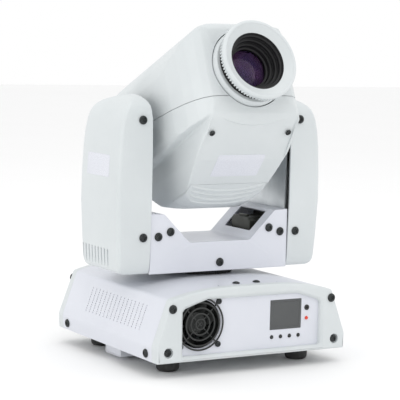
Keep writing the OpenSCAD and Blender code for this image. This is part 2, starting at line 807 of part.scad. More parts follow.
module head_section(o = 0) {
  pts = [[0, 90.8 - o], [22, 89.6 - o], [42, 86 - o], [58, 80 - o], [69 - k2(o), 71.5 - k2(o)],
    [76.5 - o, 59], [80.5 - o, 44], [head_half - o, 26], [head_half - o, -18], [80.5 - o, -30],
    [76 - k2(o), -38 + k2(o)], [68, -43 + o], [60, -45 + o], [0, -45 + o]];
  polygon(concat(pts, [for (i = [len(pts) - 1:-1:0]) [-pts[i][0], pts[i][1]]]));
}

module head_form(o = 0) {
  intersection() {
    along_x(-100, 100) head_side(o);
    translate([0, 0, -110]) linear_extrude(230) head_plan(o);
    along_y(-140, 110) head_section(o);
  }
}

// Narrower belly under the shell: it carries the sloping underside face.
module belly_side(o = 0) {
  k = o*0.6;
  polygon([[-100 + o*2, 0], [-119 + o*1.6, -18], [-117.8 + o*1.4, -26], [-113 + o, -32.5 + k],
    [-101.5 + k, -43.2 + k],
    [-73.2, -62.5 + o], [-43.7, -78.2 + o], [-30, -85.2 + o], [-5, -96.5 + o], [6 - k, -98.6 + o],
    [20 - k, -97.6 + o],
    [44 - k, -86 + o], [66 - o, -62 + k], [76 - o, -40], [78 - o, 0]]);
}

module belly_section(o = 0) {
  pts = [[64.5 - o, 0], [64.5 - o, -44], [62.5 - o, -62], [58 - k2(o), -78], [53.5 - k2(o), -90 + k2(o)],
    [45 - k2(o), -95 + k2(o)], [32, -98 + o], [16, -99.6 + o], [0, -100.2 + o]];
  polygon(concat(pts, [for (i = [len(pts) - 1:-1:0]) [-pts[i][0], pts[i][1]]]));
}

module belly_plan(o = 0) {
  pts = [[0, 84 - o], [48, 84 - o], [58 - k2(o), 78 - k2(o)], [64 - o, 62], [66 - o, 20], [66 - o, -30],
    [62.5 - o, -90],
    [58.5 - k2(o), -116], [56 - k2(o), -121 + o], [0, -121 + o]];
  polygon(concat(pts, [for (i = [len(pts) - 1:-1:0]) [-pts[i][0], pts[i][1]]]));
}

module belly_form(o = 0) {
  intersection() {
    along_x(-100, 100) belly_side(o);
    along_y(-140, 110) belly_section(o);
    translate([0, 0, -110]) linear_extrude(112) belly_plan(o);
  }
}

module split_block(up) {
  // the shells part on a plane that drops 3.5 degrees towards the lens
  translate([0, -121, -6]) rotate([3.5, 0, 0]) translate([-120, -60, up ? 0.15 : -160.15])
    cube([240, 320, 160]);
}

module shell_openings() {
  translate([0, 0, lens_w]) rotate([90, 0, 0]) cylinder(r = 48.2, h = 140, $fn = 96);
  rod_x(0, 0, trunnion_r + 4, -100, 100);
}

module upper_shell() {
  color("whitesmoke") head_frame() intersection() {
    difference() {
      head_form();
      head_form(shell_wall);
      shell_openings();
      // exhaust slots in the rear wall
      for (i = [-5:5]) {
        translate([i*9 - 2, 80, 22]) cube([4, 20, 30]);
      }
    }
    split_block(true);
  }
}

module vent_cut(g = 0) {
  // footprint of the ribbed panel on the sloping underside
  translate([-53.5 - g, -32 - g, -120]) cube([107 + 2*g, 45 + 2*g, 60]);
}

module lower_shell() {
  color("whitesmoke") head_frame() intersection() {
    difference() {
      union() {
        head_form();
        belly_form();
      }
      union() {
        head_form(shell_wall);
        belly_form(shell_wall);
      }
      shell_openings();
      vent_cut(0.3);
      for (s = [-1, 1]) {
        translate([s*52.4, -99.5, -44.6]) rotate([145, 0, 0]) {
          cylinder(r = 2, h = 20, center = true, $fn = 32);
          translate([0, 0, -0.9]) cylinder(r = 4.2, h = 8, $fn = 40);
        }
      }
    }
    split_block(false);
  }
}

module vent_panel() {
  color("whitesmoke") head_frame() union() {
    difference() {
      intersection() {
        belly_form();
        vent_cut();
      }
      belly_form(shell_wall);
      for (i = [0:8]) {
        translate([-40 + i*9.2, 0, -110]) cube([5, 9, 30]);
      }
    }
    // raised ribs across the panel
    for (i = [0:3]) {
      y = -26 + i*7.4;
      z = -86.2 - (y + 28)*0.46;
      translate([0, y, z]) rotate([-25, 0, 0]) translate([-46 + i, -1.2, -2.2]) cube([92 - 2*i, 2.4, 3.4]);
    }
  }
}

module head_label() {
  color("white") head_frame() translate([0, -58.4, -70.9]) rotate([-27.6, 0, 0])
    translate([-32.5, -16.3, -0.55]) cube([65, 32.6, 0.4]);
}

module head_screws() {
  color("black") head_frame() for (s = [-1, 1]) {
    translate([s*52.4, -99.5, -44.6]) rotate([145, 0, 0]) translate([0, 0, -0.8]) dome_screw(3.6, 5);
  }
}

module head_chassis() {
  color("silver") head_frame() {
    difference() {
      union() {
        for (s = [-1, 1]) {
          translate([s*73 - 1, -60, -30]) cube([2, 124, 80]);
        }
        translate([-72.1, -62, -30]) cube([144.2, 2, 80]);
        translate([-72.1, 62, -30]) cube([144.2, 2, 80]);
        translate([-72.1, -60.1, -32]) cube([144.2, 122.2, 2]);
      }
      optic([[0, 30], [41, 30], [41, 80], [0, 80]]);
      // slots for the two effect wheels
      for (y = [8, -9]) {
        translate([-40, y - 3.6, -40]) cube([80, 6, 12]);
      }
      for (x = [-30, 0, 30]) {
        translate([x - 10, 60, -10]) cube([20, 6, 50]);
      }
      rod_x(0, 0, trunnion_r - 3, -80, 80);
    }
    // lens tube clamped in the front wall
    optic([[42.2, 60.5], [45.5, 60.5], [45.5, 116], [42.2, 116]]);
    // post and axle of the effect wheels
    translate([-8, -2.4, -31]) cube([16, 3, 28]);
    rod_y(0, wheel_w, 3 - run_gap, -12, 11);
    rod_y(0, wheel_w, 6, -6.6, 4.9);
  }
}

module tilt_trunnions() {
  color("silver") head_frame() for (s = [-1, 1]) {
    difference() {
      union() {
        rod_x(0, 0, trunnion_r, s*92.5 - 18.4, s*92.5 + 18.4);
        rod_x(0, 0, trunnion_r + 8, s*75.6 - 1.5, s*75.6 + 1.5);
      }
      rod_x(0, 0, trunnion_r - 3, s*92.5 - 30, s*92.5 + 30);
    }
  }
}

module tilt_pulley() {
  color("gray") head_frame() difference() {
    union() {
      rod_x(0, 0, tilt_pulley_r, tilt_belt_x, tilt_belt_x + 6.6);
      rod_x(0, 0, tilt_pulley_r + 2.4, tilt_belt_x - 0.6, tilt_belt_x + 0.2);
      rod_x(0, 0, tilt_pulley_r + 2.4, tilt_belt_x + 6.4, tilt_belt_x + 7.2);
    }
    rod_x(0, 0, trunnion_r + 0.02, tilt_belt_x - 8, tilt_belt_x + 20);
    for (a = [0:60:300]) {
      rod_x(22*cos(a), 22*sin(a), 6, tilt_belt_x - 8, tilt_belt_x + 20);
    }
  }
}

module lens_collar() {
  color("whitesmoke") head_frame() optic([[41.6, 116.1], [47.1, 116.1], [47.1, 123.4], [46.6, 124.2],
    [44.6, 132], [44, 132.6], [42, 132.6], [41.6, 132.2]]);
}

// ---------- focus bodies ----------
module focus_cell() {
  color("black") head_frame() optic(concat([[38.95, 96], [40.9, 96]],
    [for (i = [0:8]) each [[40.9, 118 + i*2.4], [40.3, 119 + i*2.4], [40.3, 119.5 + i*2.4],
      [40.9, 120.2 + i*2.4]]],
    [[40.9, 139.6], [38.95, 139.6]]));
}

module focus_ring() {
  color("whitesmoke") head_frame() difference() {
    optic([[35, 100], [38.9, 100], [38.9, 140], [ring_r - 1.4, 140], [ring_r, 141.2], [ring_r, 147.4],
      [ring_r - 0.8, 148.8], [ring_r - 2, 149.4], [ring_r - 3.6, 149.4], [ring_r - 4.6, 148.6],
      [opening_r + 1, 143.3], [35, 143]], 120);
    // grip notches round the rear edge
    for (a = [0:4.5:355.5]) {
      translate([0, 0, lens_w]) rotate([0, a, 0]) translate([ring_r - 0.9, -145, -0.85])
        cube([3, 6, 1.7]);
    }
  }
}

module lens_barrel() {
  color("black") head_frame() optic([[25, 100], [34.9, 100], [34.9, 143], [opening_r - 0.6, 143],
    [opening_r - 1.2, 140], [31.6, 139.4], [31.4, 134], [28.8, 133.4], [28.4, 127.4], [25.8, 126.8],
    [25.4, 121.6], [23.2, 121.2], [23.2, 119.9], [24.2, 118], [24.2, 106], [25, 105]]);
}

module front_lens() {
  color([0.5, 0.6, 0.7, 0.4]) head_frame() optic(concat([[0, 107]],
    [for (i = [1:8]) let (r = i*(lens_r)/8) [r, 107 + 3.4*pow(r/lens_r, 2)]],
    [for (i = [8:-1:0]) let (r = i*(lens_r)/8) [r, 121.4 - 5.2*pow(r/lens_r, 2)]]));
}

module lamp_module() {
  color("gray") head_frame() union() {
    // finned sink behind the light source
    translate([-34, 40, lens_w - 34]) cube([68, 6, 68]);
    for (i = [0:10]) {
      translate([-34 + i*6.6, 45.9, lens_w - 34]) cube([2, 14, 68]);
    }
    translate([-18, 37.9, lens_w - 18]) cube([36, 2.2, 36]);
    optic([[3, -37.95], [9, -37.95], [20, -20], [18, -20], [3, -36]]);
  }
}

module wheel(y, n, r) {
  difference() {
    union() {
      translate([0, y, wheel_w]) rotate([90, 0, 0]) cylinder(r = 43, h = 1.2, $fn = 96);
      translate([0, y + 0.7, wheel_w]) rotate([90, 0, 0]) cylinder(r = 7, h = 2.6, $fn = 48);
    }
    translate([0, y + 3, wheel_w]) rotate([90, 0, 0]) cylinder(r = 3, h = 8, $fn = 48);
    for (i = [0:n - 1]) {
      translate([0, 0, wheel_w]) rotate([0, i*360/n, 0]) translate([0, y + 1, lens_w - wheel_w])
        rotate([90, 0, 0]) cylinder(r = r, h = 3, $fn = 40);
    }
  }
}

module colour_wheel() {
  color("silver") head_frame() wheel(8, 8, 8.4);
}

module gobo_wheel() {
  color("gray") head_frame() wheel(-8.4, 8, 6.5);
}

base_plate();
base_cover();
front_bezel();
rear_bezel();
front_panel();
rear_panel();
display_window();
menu_button_1();
menu_button_2();
menu_button_3();
menu_button_4();
microphone();
status_led();
fan_guard();
fan_frame();
fan_rotor();
power_inlet();
fuse_cap();
data_in_socket();
data_out_socket();
feet();
clamp_bracket();
base_screws();
panel_screws();
power_supply();
control_board();
pan_shaft();
pan_pulley();
yoke_floor();
crossbar_shell();
left_arm_plate();
right_arm_plate();
left_arm_cover();
right_arm_cover();
arm_labels();
pan_bearing();
pan_motor();
pan_pinion();
pan_belt();
tilt_motor();
tilt_pinion();
tilt_belt();
tilt_bearings();
yoke_screws();
head_chassis();
tilt_trunnions();
tilt_pulley();
upper_shell();
lower_shell();
vent_panel();
head_label();
head_screws();
lens_collar();
focus_cell();
focus_ring();
front_lens();
lens_barrel();
lamp_module();
colour_wheel();
gobo_wheel();
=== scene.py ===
"""Moving head spot light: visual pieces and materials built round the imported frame.

Shapes are written in millimetres; to_mesh() scales them to metres. The head is written in its own
frame (lens towards -y, origin on the tilt axis) and placed by HEAD.
"""
import math

import bmesh
import bpy
import numpy as np
from mathutils import Matrix, Vector
from mathutils.bvhtree import BVHTree


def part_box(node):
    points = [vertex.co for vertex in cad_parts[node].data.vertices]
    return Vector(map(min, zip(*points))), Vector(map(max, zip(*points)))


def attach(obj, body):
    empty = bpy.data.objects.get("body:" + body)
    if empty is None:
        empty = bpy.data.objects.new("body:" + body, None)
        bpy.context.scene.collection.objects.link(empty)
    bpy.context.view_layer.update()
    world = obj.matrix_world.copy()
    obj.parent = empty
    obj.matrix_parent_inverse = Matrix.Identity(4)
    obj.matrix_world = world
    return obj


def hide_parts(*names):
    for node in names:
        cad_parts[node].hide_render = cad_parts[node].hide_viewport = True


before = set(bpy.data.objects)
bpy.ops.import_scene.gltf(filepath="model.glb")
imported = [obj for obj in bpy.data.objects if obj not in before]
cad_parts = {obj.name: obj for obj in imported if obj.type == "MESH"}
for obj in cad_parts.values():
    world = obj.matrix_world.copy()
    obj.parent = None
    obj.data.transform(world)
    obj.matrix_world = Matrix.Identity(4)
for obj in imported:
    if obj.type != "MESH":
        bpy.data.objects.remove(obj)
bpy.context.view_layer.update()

scene = bpy.context.scene
MM = 0.001


def node_box(name):
    """A CAD node's box in millimetres."""
    lo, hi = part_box(name)
    return lo / MM, hi / MM


# ------------------------------------------------------------------ materials
def new_material(name):
    m = bpy.data.materials.new(name)
    m.use_nodes = True
    nt = m.node_tree
    return m, nt, nt.nodes["Principled BSDF"]


def noise_node(nt, co, scale, detail=3.0, rough=0.5):
    n = nt.nodes.new("ShaderNodeTexNoise")
    n.inputs["Scale"].default_value = scale
    n.inputs["Detail"].default_value = detail
    n.inputs["Roughness"].default_value = rough
    nt.links.new(co, n.inputs["Vector"])
    return n.outputs["Fac"]


def map_range(nt, value, a, b, lo, hi):
    n = nt.nodes.new("ShaderNodeMapRange")
    n.inputs["From Min"].default_value = a
    n.inputs["From Max"].default_value = b
    n.inputs["To Min"].default_value = lo
    n.inputs["To Max"].default_value = hi
    nt.links.new(value, n.inputs["Value"])
    return n.outputs["Result"]


def mix_colour(nt, fac, a, b):
    n = nt.nodes.new("ShaderNodeMix")
    n.data_type = "RGBA"
    for sock, v in ((n.inputs[6], a), (n.inputs[7], b)):
        if isinstance(v, tuple):
            sock.default_value = (*v, 1.0)
        else:
            nt.links.new(v, sock)
    nt.links.new(fac, n.inputs[0])
    return n.outputs[2]


def bump_node(nt, height, strength, distance, normal=None):
    n = nt.nodes.new("ShaderNodeBump")
    n.inputs["Strength"].default_value = strength
    n.inputs["Distance"].default_value = distance
    nt.links.new(height, n.inputs["Height"])
    if normal is not None:
        nt.links.new(normal, n.inputs["Normal"])
    return n.outputs["Normal"]


def object_coords(nt, stretch=None):
    tc = nt.nodes.new("ShaderNodeTexCoord")
    if stretch is None:
        return tc.outputs["Object"]
    mp = nt.nodes.new("ShaderNodeMapping")
    mp.inputs["Scale"].default_value = stretch
    nt.links.new(tc.outputs["Object"], mp.inputs["Vector"])
    return mp.outputs["Vector"]


def surface(name, light, dark, rough=(0.35, 0.5), metallic=0.0, grain=(1500, 0.08, 0.0001),
            ripple=None, blotch=14, coat=0.0, coat_rough=0.2, stretch=None, specks=None, spec=0.5):
    """A procedural finish: slow colour drift, grain in the relief, and roughness that follows both."""
    m, nt, bsdf = new_material(name)
    co = object_coords(nt)
    grain_co = co if stretch is None else object_coords(nt, stretch)
    drift = noise_node(nt, co, blotch, 4, 0.55)
    fac = map_range(nt, drift, 0.35, 0.65, 0.0, 1.0)
    col = mix_colour(nt, fac, light, dark)
    if specks:
        colour, scale, share = specks
        v = nt.nodes.new("ShaderNodeTexVoronoi")
        v.inputs["Scale"].default_value = scale
        nt.links.new(co, v.inputs["Vector"])
        dot = map_range(nt, v.outputs["Distance"], share, share * 0.4, 0.0, 1.0)
        col = mix_colour(nt, dot, col, colour)
    nt.links.new(col, bsdf.inputs["Base Color"])
    fine = noise_node(nt, grain_co, grain[0], 3, 0.6)
    rmix = nt.nodes.new("ShaderNodeMath")
    rmix.operation = "ADD"
    nt.links.new(map_range(nt, drift, 0.3, 0.7, rough[0], (rough[0] + rough[1]) / 2), rmix.inputs[0])
    nt.links.new(map_range(nt, fine, 0.3, 0.7, 0.0, (rough[1] - rough[0]) / 2), rmix.inputs[1])
    nt.links.new(rmix.outputs[0], bsdf.inputs["Roughness"])
    nrm = bump_node(nt, fine, grain[1], grain[2])
    if ripple:
        nrm = bump_node(nt, noise_node(nt, co, ripple[0], 2, 0.5), ripple[1], ripple[2], nrm)
    nt.links.new(nrm, bsdf.inputs["Normal"])
    bsdf.inputs["Metallic"].default_value = metallic
    bsdf.inputs["Specular IOR Level"].default_value = spec
    bsdf.inputs["Coat Weight"].default_value = coat
    bsdf.inputs["Coat Roughness"].default_value = coat_rough
    return m


M = {}
M["plastic"] = surface("white_moulded_plastic", (0.655, 0.690, 0.700), (0.625, 0.662, 0.672), (0.34, 0.5),
                       grain=(2300, 0.16, 0.00006), ripple=(90, 0.05, 0.0004), coat=0.12, coat_rough=0.3)
M["paint"] = surface("white_powder_coat", (0.700, 0.718, 0.775), (0.672, 0.692, 0.750), (0.3, 0.44),
                     grain=(900, 0.12, 0.0001), ripple=(260, 0.06, 0.0002), coat=0.15, coat_rough=0.22)
M["zinc"] = surface("zinc_plated_sheet", (0.62, 0.65, 0.67), (0.52, 0.55, 0.57), (0.26, 0.46), 1.0,
                    grain=(260, 0.1, 0.00008), stretch=(0.15, 6.0, 1.0), blotch=30)
M["alu"] = surface("machined_aluminium", (0.78, 0.79, 0.8), (0.68, 0.69, 0.71), (0.2, 0.38), 1.0,
                   grain=(420, 0.12, 0.00006), stretch=(0.2, 5.0, 5.0), blotch=40)
M["black"] = surface("black_moulded_plastic", (0.016, 0.018, 0.017), (0.026, 0.028, 0.027), (0.42, 0.6),
                     grain=(2100, 0.2, 0.00008))
M["screw"] = surface("black_zinc_screw", (0.022, 0.025, 0.026), (0.045, 0.05, 0.05), (0.26, 0.42), 0.55,
                     grain=(1800, 0.14, 0.00005), blotch=300)
M["anodised"] = surface("black_anodised", (0.012, 0.012, 0.013), (0.02, 0.02, 0.021), (0.38, 0.52), 0.0,
                        grain=(1700, 0.12, 0.00005), blotch=60, spec=0.28)
M["rubber"] = surface("rubber", (0.018, 0.018, 0.018), (0.032, 0.032, 0.031), (0.6, 0.8),
                      grain=(1300, 0.3, 0.0001), blotch=80)
M["brass"] = surface("brass", (0.72, 0.52, 0.22), (0.6, 0.42, 0.17), (0.2, 0.36), 1.0,
                     grain=(500, 0.1, 0.00005), stretch=(5.0, 5.0, 0.2), blotch=80)
M["circuit"] = surface("solder_resist", (0.01, 0.09, 0.04), (0.015, 0.13, 0.06), (0.25, 0.4),
                       grain=(700, 0.1, 0.00005), specks=((0.7, 0.66, 0.5), 260, 0.12), coat=0.4)
M["sticker"] = surface("satin_sticker", (0.70, 0.715, 0.77), (0.67, 0.69, 0.745), (0.22, 0.34),
                       grain=(1100, 0.04, 0.00004), blotch=30, coat=0.35, coat_rough=0.12)
M["motor"] = surface("motor_laminations", (0.035, 0.038, 0.032), (0.055, 0.058, 0.05), (0.36, 0.52), 0.5,
                     grain=(900, 0.25, 0.0001), stretch=(9.0, 0.6, 0.6), blotch=60)
M["endbell"] = surface("cast_end_bell", (0.16, 0.165, 0.155), (0.11, 0.115, 0.105), (0.34, 0.5), 0.85,
                       grain=(700, 0.3, 0.00012), blotch=70)
M["chrome"] = surface("reflector", (0.86, 0.87, 0.88), (0.8, 0.81, 0.83), (0.06, 0.14), 1.0,
                      grain=(600, 0.03, 0.00004))
M["frame_grey"] = surface("display_surround", (0.075, 0.08, 0.082), (0.06, 0.064, 0.066), (0.3, 0.42),
                          grain=(1600, 0.08, 0.00005), coat=0.3)


def display_material():
    m, nt, bsdf = new_material("liquid_crystal_window")
    co = object_coords(nt)
    cells = nt.nodes.new("ShaderNodeTexChecker")
    cells.inputs["Scale"].default_value = 2600
    cells.inputs["Color1"].default_value = (0.27, 0.285, 0.3, 1)
    cells.inputs["Color2"].default_value = (0.29, 0.30, 0.315, 1)
    nt.links.new(co, cells.inputs["Vector"])
    drift = noise_node(nt, co, 26, 2, 0.4)
    nt.links.new(mix_colour(nt, map_range(nt, drift, 0.3, 0.7, 0.0, 0.35), cells.outputs["Color"],
                            (0.24, 0.255, 0.27)), bsdf.inputs["Base Color"])
    nt.links.new(map_range(nt, drift, 0.3, 0.7, 0.3, 0.4), bsdf.inputs["Roughness"])
    bsdf.inputs["Coat Weight"].default_value = 1.0
    bsdf.inputs["Coat Roughness"].default_value = 0.04
    return m


def led_material():
    m, nt, bsdf = new_material("status_light_red")
    co = object_coords(nt)
    n = noise_node(nt, co, 900, 2, 0.5)
    nt.links.new(mix_colour(nt, n, (0.55, 0.035, 0.02), (0.42, 0.02, 0.012)), bsdf.inputs["Base Color"])
    nt.links.new(map_range(nt, n, 0.3, 0.7, 0.16, 0.26), bsdf.inputs["Roughness"])
    bsdf.inputs["Subsurface Weight"].default_value = 0.35
    bsdf.inputs["Subsurface Scale"].default_value = 0.001
    bsdf.inputs["Emission Color"].default_value = (1.0, 0.12, 0.05, 1)
    bsdf.inputs["Emission Strength"].default_value = 0.25
    return m


def lens_material():
    m, nt, bsdf = new_material("coated_lens")
    co = object_coords(nt)
    n = noise_node(nt, co, 36, 2, 0.4)
    nt.links.new(mix_colour(nt, map_range(nt, n, 0.35, 0.65, 0.0, 1.0), (0.46, 0.24, 0.50),
                            (0.26, 0.2, 0.48)), bsdf.inputs["Base Color"])
    nt.links.new(map_range(nt, n, 0.3, 0.7, 0.012, 0.03), bsdf.inputs["Roughness"])
    bsdf.inputs["Transmission Weight"].default_value = 0.9
    bsdf.inputs["IOR"].default_value = 1.52
    bsdf.inputs["Thin Film Thickness"].default_value = 104.0
    bsdf.inputs["Thin Film IOR"].default_value = 1.38
    bsdf.inputs["Coat Weight"].default_value = 0.15
    bsdf.inputs["Coat Roughness"].default_value = 0.02
    bsdf.inputs["Coat Tint"].default_value = (0.8, 0.45, 0.85, 1)
    return m


M["display"] = display_material()
M["led"] = led_material()
M["lens"] = lens_material()

# nodes that keep their CAD shape and only get a finish
CAD_FINISH = {
    "base_plate": "zinc", "front_panel": "paint", "rear_panel": "paint", "fan_frame": "black",
    "power_supply": "zinc", "control_board": "circuit", "pan_pulley": "alu", "yoke_floor": "zinc",
    "left_arm_plate": "zinc", "right_arm_plate": "zinc", "pan_bearing": "zinc", "pan_motor": "motor",
    "pan_pinion": "brass", "pan_belt": "rubber", "tilt_pinion": "brass", "tilt_belt": "rubber",
    "tilt_bearings": "zinc", "head_chassis": "zinc", "tilt_trunnions": "alu", "tilt_pulley": "alu",
    "lamp_module": "alu", "colour_wheel": "chrome", "gobo_wheel": "zinc", "power_inlet": "black",
    "fuse_cap": "black", "data_in_socket": "black", "data_out_socket": "black",
}
for node_name, finish_name in CAD_FINISH.items():
    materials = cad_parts[node_name].data.materials
    materials.clear()
    materials.append(M[finish_name])


# ------------------------------------------------------------------ mesh tools (millimetres)
def fillet(pts, closed=True, seg=6):
    """Rounds the corners of a polyline; a point is (x, y) or (x, y, radius)."""
    out, n = [], len(pts)
    for i, p in enumerate(pts):
        r = p[2] if len(p) > 2 else 0
        c = Vector(p[:2])
        if r <= 0 or (not closed and i in (0, n - 1)):
            out.append(c)
            continue
        a, b = Vector(pts[i - 1][:2]), Vector(pts[(i + 1) % n][:2])
        u, v = a - c, b - c
        lu, lv = u.length, v.length
        u, v = u / lu, v / lv
        ang = math.acos(max(-1.0, min(1.0, u.dot(v))))
        if ang > math.pi - 0.02:
            out.append(c)
            continue
        t = min(r / math.tan(ang / 2), lu * 0.48, lv * 0.48)
        p0, p1 = c + u * t, c + v * t
        for k in range(seg + 1):
            s = k / seg
            out.append(p0 * (1 - s) ** 2 + c * 2 * s * (1 - s) + p1 * s ** 2)
    return out


def inset(pts, o):
    """A closed counter-clockwise outline moved inward by o."""
    n, out = len(pts), []
    for i in range(n):
        a, b, c = Vector(pts[i - 1][:2]), Vector(pts[i][:2]), Vector(pts[(i + 1) % n][:2])
        d0, d1 = (b - a), (c - b)
        if d0.length < 1e-9 or d1.length < 1e-9:
            d0 = d1 = (c - a)
        n0 = Vector((-d0.y, d0.x)).normalized()
        n1 = Vector((-d1.y, d1.x)).normalized()
        h = n0 + n1
        h = h / max(0.35, h.length_squared / 2) if h.length > 1e-6 else n0
        out.append(b + h * o)
    return out


def loft(bm, rings, closed_ring=True, closed_loft=False, cap0=False, cap1=False, mat=0):
    vs = [[bm.verts.new(p) for p in r] for r in rings]
    n = len(vs[0])
    pairs = list(zip(vs, vs[1:])) + ([(vs[-1], vs[0])] if closed_loft else [])
    faces = []
    for r0, r1 in pairs:
        for i in range(n if closed_ring else n - 1):
            j = (i + 1) % n
            faces.append(bm.faces.new((r0[i], r0[j], r1[j], r1[i])))
    if cap0:
        faces.append(bm.faces.new(vs[0]))
    if cap1:
        faces.append(bm.faces.new(vs[-1]))
    for f in faces:
        f.material_index = mat
    return vs


def lathe(bm, prof, origin=(0, 0, 0), axis=(0, 0, 1), seg=72, mat=0):
    """Revolves a closed outline of (radius, distance) points about an axis."""
    d = Vector(axis).normalized()
    a = Vector((1, 0, 0)) if abs(d.x) < 0.7 else Vector((0, 1, 0))
    a = (a - d * a.dot(d)).normalized()
    b = d.cross(a)
    o = Vector(origin)
    rings = []
    for r, t in prof:
        if r < 1e-6:
            rings.append([bm.verts.new(o + d * t)])
        else:
            rings.append([bm.verts.new(o + d * t + a * (r * math.cos(2 * math.pi * k / seg))
                                       + b * (r * math.sin(2 * math.pi * k / seg))) for k in range(seg)])
    for r0, r1 in zip(rings, rings[1:] + rings[:1]):
        if len(r0) == 1 and len(r1) == 1:
            continue
        for i in range(seg):
            j = (i + 1) % seg
            if len(r0) == 1:
                f = bm.faces.new((r0[0], r1[j], r1[i]))
            elif len(r1) == 1:
                f = bm.faces.new((r0[i], r0[j], r1[0]))
            else:
                f = bm.faces.new((r0[i], r0[j], r1[j], r1[i]))
            f.material_index = mat


def lathe_round(pts, seg=4):
    """A lathe profile with rounded corners; a point is (radius, distance[, corner radius])."""
    return [(p.x, p.y) for p in fillet(pts, True, seg)]


def turn(bm, pts, origin=(0, 0, 0), axis=(0, 0, 1), seg=72, mat=0):
    """A lathed body with rounded profile corners."""
    lathe(bm, lathe_round(pts), origin, axis, seg, mat=mat)


def rounded_rect(x0, y0, x1, y1, r, seg=6):
    return [tuple(p) for p in fillet([(x0, y0, r), (x1, y0, r), (x1, y1, r), (x0, y1, r)], True, seg)]


def circle(cx, cy, r, seg):
    turns = [2 * math.pi * k / seg for k in range(seg)]
    return [(cx + r * math.cos(t), cy + r * math.sin(t)) for t in turns]


def box_mesh(bm, lo, hi, bevel=0.0, mat=0):
    lo, hi = Vector(lo), Vector(hi)
    r = bmesh.ops.create_cube(bm, size=1.0, matrix=Matrix.Translation((lo + hi) / 2) @ Matrix.Diagonal(
        (*(hi - lo), 1.0)))
    for f in {f for v in r["verts"] for f in v.link_faces}:
        f.material_index = mat
    if bevel > 0:
        edges = list({e for v in r["verts"] for e in v.link_edges})
        bmesh.ops.bevel(bm, geom=edges, offset=bevel, segments=2, profile=0.5, affect="EDGES",
                        clamp_overlap=True)


def fill_between(bm, loops):
    """Triangulates the flat area bounded by closed loops of existing vertices."""
    edges = []
    for lp in loops:
        for i in range(len(lp)):
            a, b = lp[i], lp[(i + 1) % len(lp)]
            e = bm.edges.get((a, b)) or bm.edges.new((a, b))
            edges.append(e)
    bmesh.ops.triangle_fill(bm, use_beauty=True, use_dissolve=False, edges=edges)


def to_mesh(bm, name, sharp, flat):
    """A metre mesh, smooth except at edges over sharp degrees and round faces over flat mm2."""
    bmesh.ops.remove_doubles(bm, verts=bm.verts, dist=0.0005)
    bmesh.ops.recalc_face_normals(bm, faces=bm.faces)
    bmesh.ops.scale(bm, vec=(MM, MM, MM), verts=bm.verts)
    me = bpy.data.meshes.new(name)
    bm.to_mesh(me)
    bm.free()
    for p in me.polygons:
        p.use_smooth = True
    me.set_sharp_from_angle(angle=math.radians(sharp))
    if flat:
        big = set()
        for p in me.polygons:
            if p.area > flat * MM * MM:
                big.update(p.edge_keys)
        for e in me.edges:
            if e.key in big:
                e.use_edge_sharp = True
    return me


def piece(bm, name, body, nodes, mats, sharp=32, flat=0):
    """Turns a bmesh into a named piece on a body, standing for the CAD nodes it replaces."""
    me = to_mesh(bm, name, sharp, flat)
    o = bpy.data.objects.new(name, me)
    scene.collection.objects.link(o)
    me.materials.clear()
    for m in mats:
        me.materials.append(M[m])
    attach(o, body)
    if nodes:
        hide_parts(*nodes)


def merge(bm, part, place=None):
    """Adds another bmesh to bm, moved by a matrix if one is given."""
    if place is not None:
        part.transform(place)
    me = bpy.data.meshes.new("temporary")
    part.to_mesh(me)
    part.free()
    bm.from_mesh(me)
    bpy.data.meshes.remove(me)


def temp_object(bm):
    me = bpy.data.meshes.new("temporary")
    bm.to_mesh(me)
    bm.free()
    o = bpy.data.objects.new("temporary", me)
    scene.collection.objects.link(o)
    return o


def with_modifiers(bm, setup):
    """Runs modifiers over a bmesh and returns a new bmesh with their result."""
    o = temp_object(bm)
    extra = setup(o) or []
    dg = bpy.context.evaluated_depsgraph_get()
    dg.update()
    me = bpy.data.meshes.new_from_object(o.evaluated_get(dg))
    out = bmesh.new()
    out.from_mesh(me)
    for x in [o] + list(extra):
        d = x.data
        bpy.data.objects.remove(x)
        if isinstance(d, bpy.types.Mesh):
            bpy.data.meshes.remove(d)
    bpy.data.meshes.remove(me)
    return out


def boolean(bm, other, how="DIFFERENCE"):
    """bm cut by, joined with or limited to another closed bmesh."""
    for part in (bm, other):
        bmesh.ops.recalc_face_normals(part, faces=part.faces)

    def setup(o):
        c = temp_object(other)
        mod = o.modifiers.new("boolean", "BOOLEAN")
        mod.operation = how
        mod.solver = "EXACT"
        mod.object = c
        return [c]
    return with_modifiers(bm, setup)


def thicken(bm, t):
    def setup(o):
        mod = o.modifiers.new("wall", "SOLIDIFY")
        mod.thickness = t
        mod.offset = -1.0
        mod.use_even_offset = True
        mod.use_quality_normals = True
    return with_modifiers(bm, setup)


def prism(bm, pts, axis, a, b):
    """A closed prism of an outline in the two other axes (X, Y, Z order)."""
    def at(p, t):
        return {"x": (t, p[0], p[1]), "y": (p[0], t, p[1]), "z": (p[0], p[1], t)}[axis]
    loft(bm, [[at(p, a) for p in pts], [at(p, b) for p in pts]], cap0=True, cap1=True)


def capsule(cx, cy, hw, hh):
    """A slot outline with round ends, long side along the second axis."""
    pts, seg = [], 6
    for k in range(seg + 1):
        t = math.pi * k / seg
        pts.append((cx + hw * math.cos(t), cy + hh - hw + hw * math.sin(t)))
    for k in range(seg + 1):
        t = math.pi + math.pi * k / seg
        pts.append((cx + hw * math.cos(t), cy - hh + hw + hw * math.sin(t)))
    return pts


TILT_Z, REST_TILT = 278, 24
HEAD = Matrix.Translation((0, 0, TILT_Z)) @ Matrix.Rotation(math.radians(-REST_TILT), 4, "X")


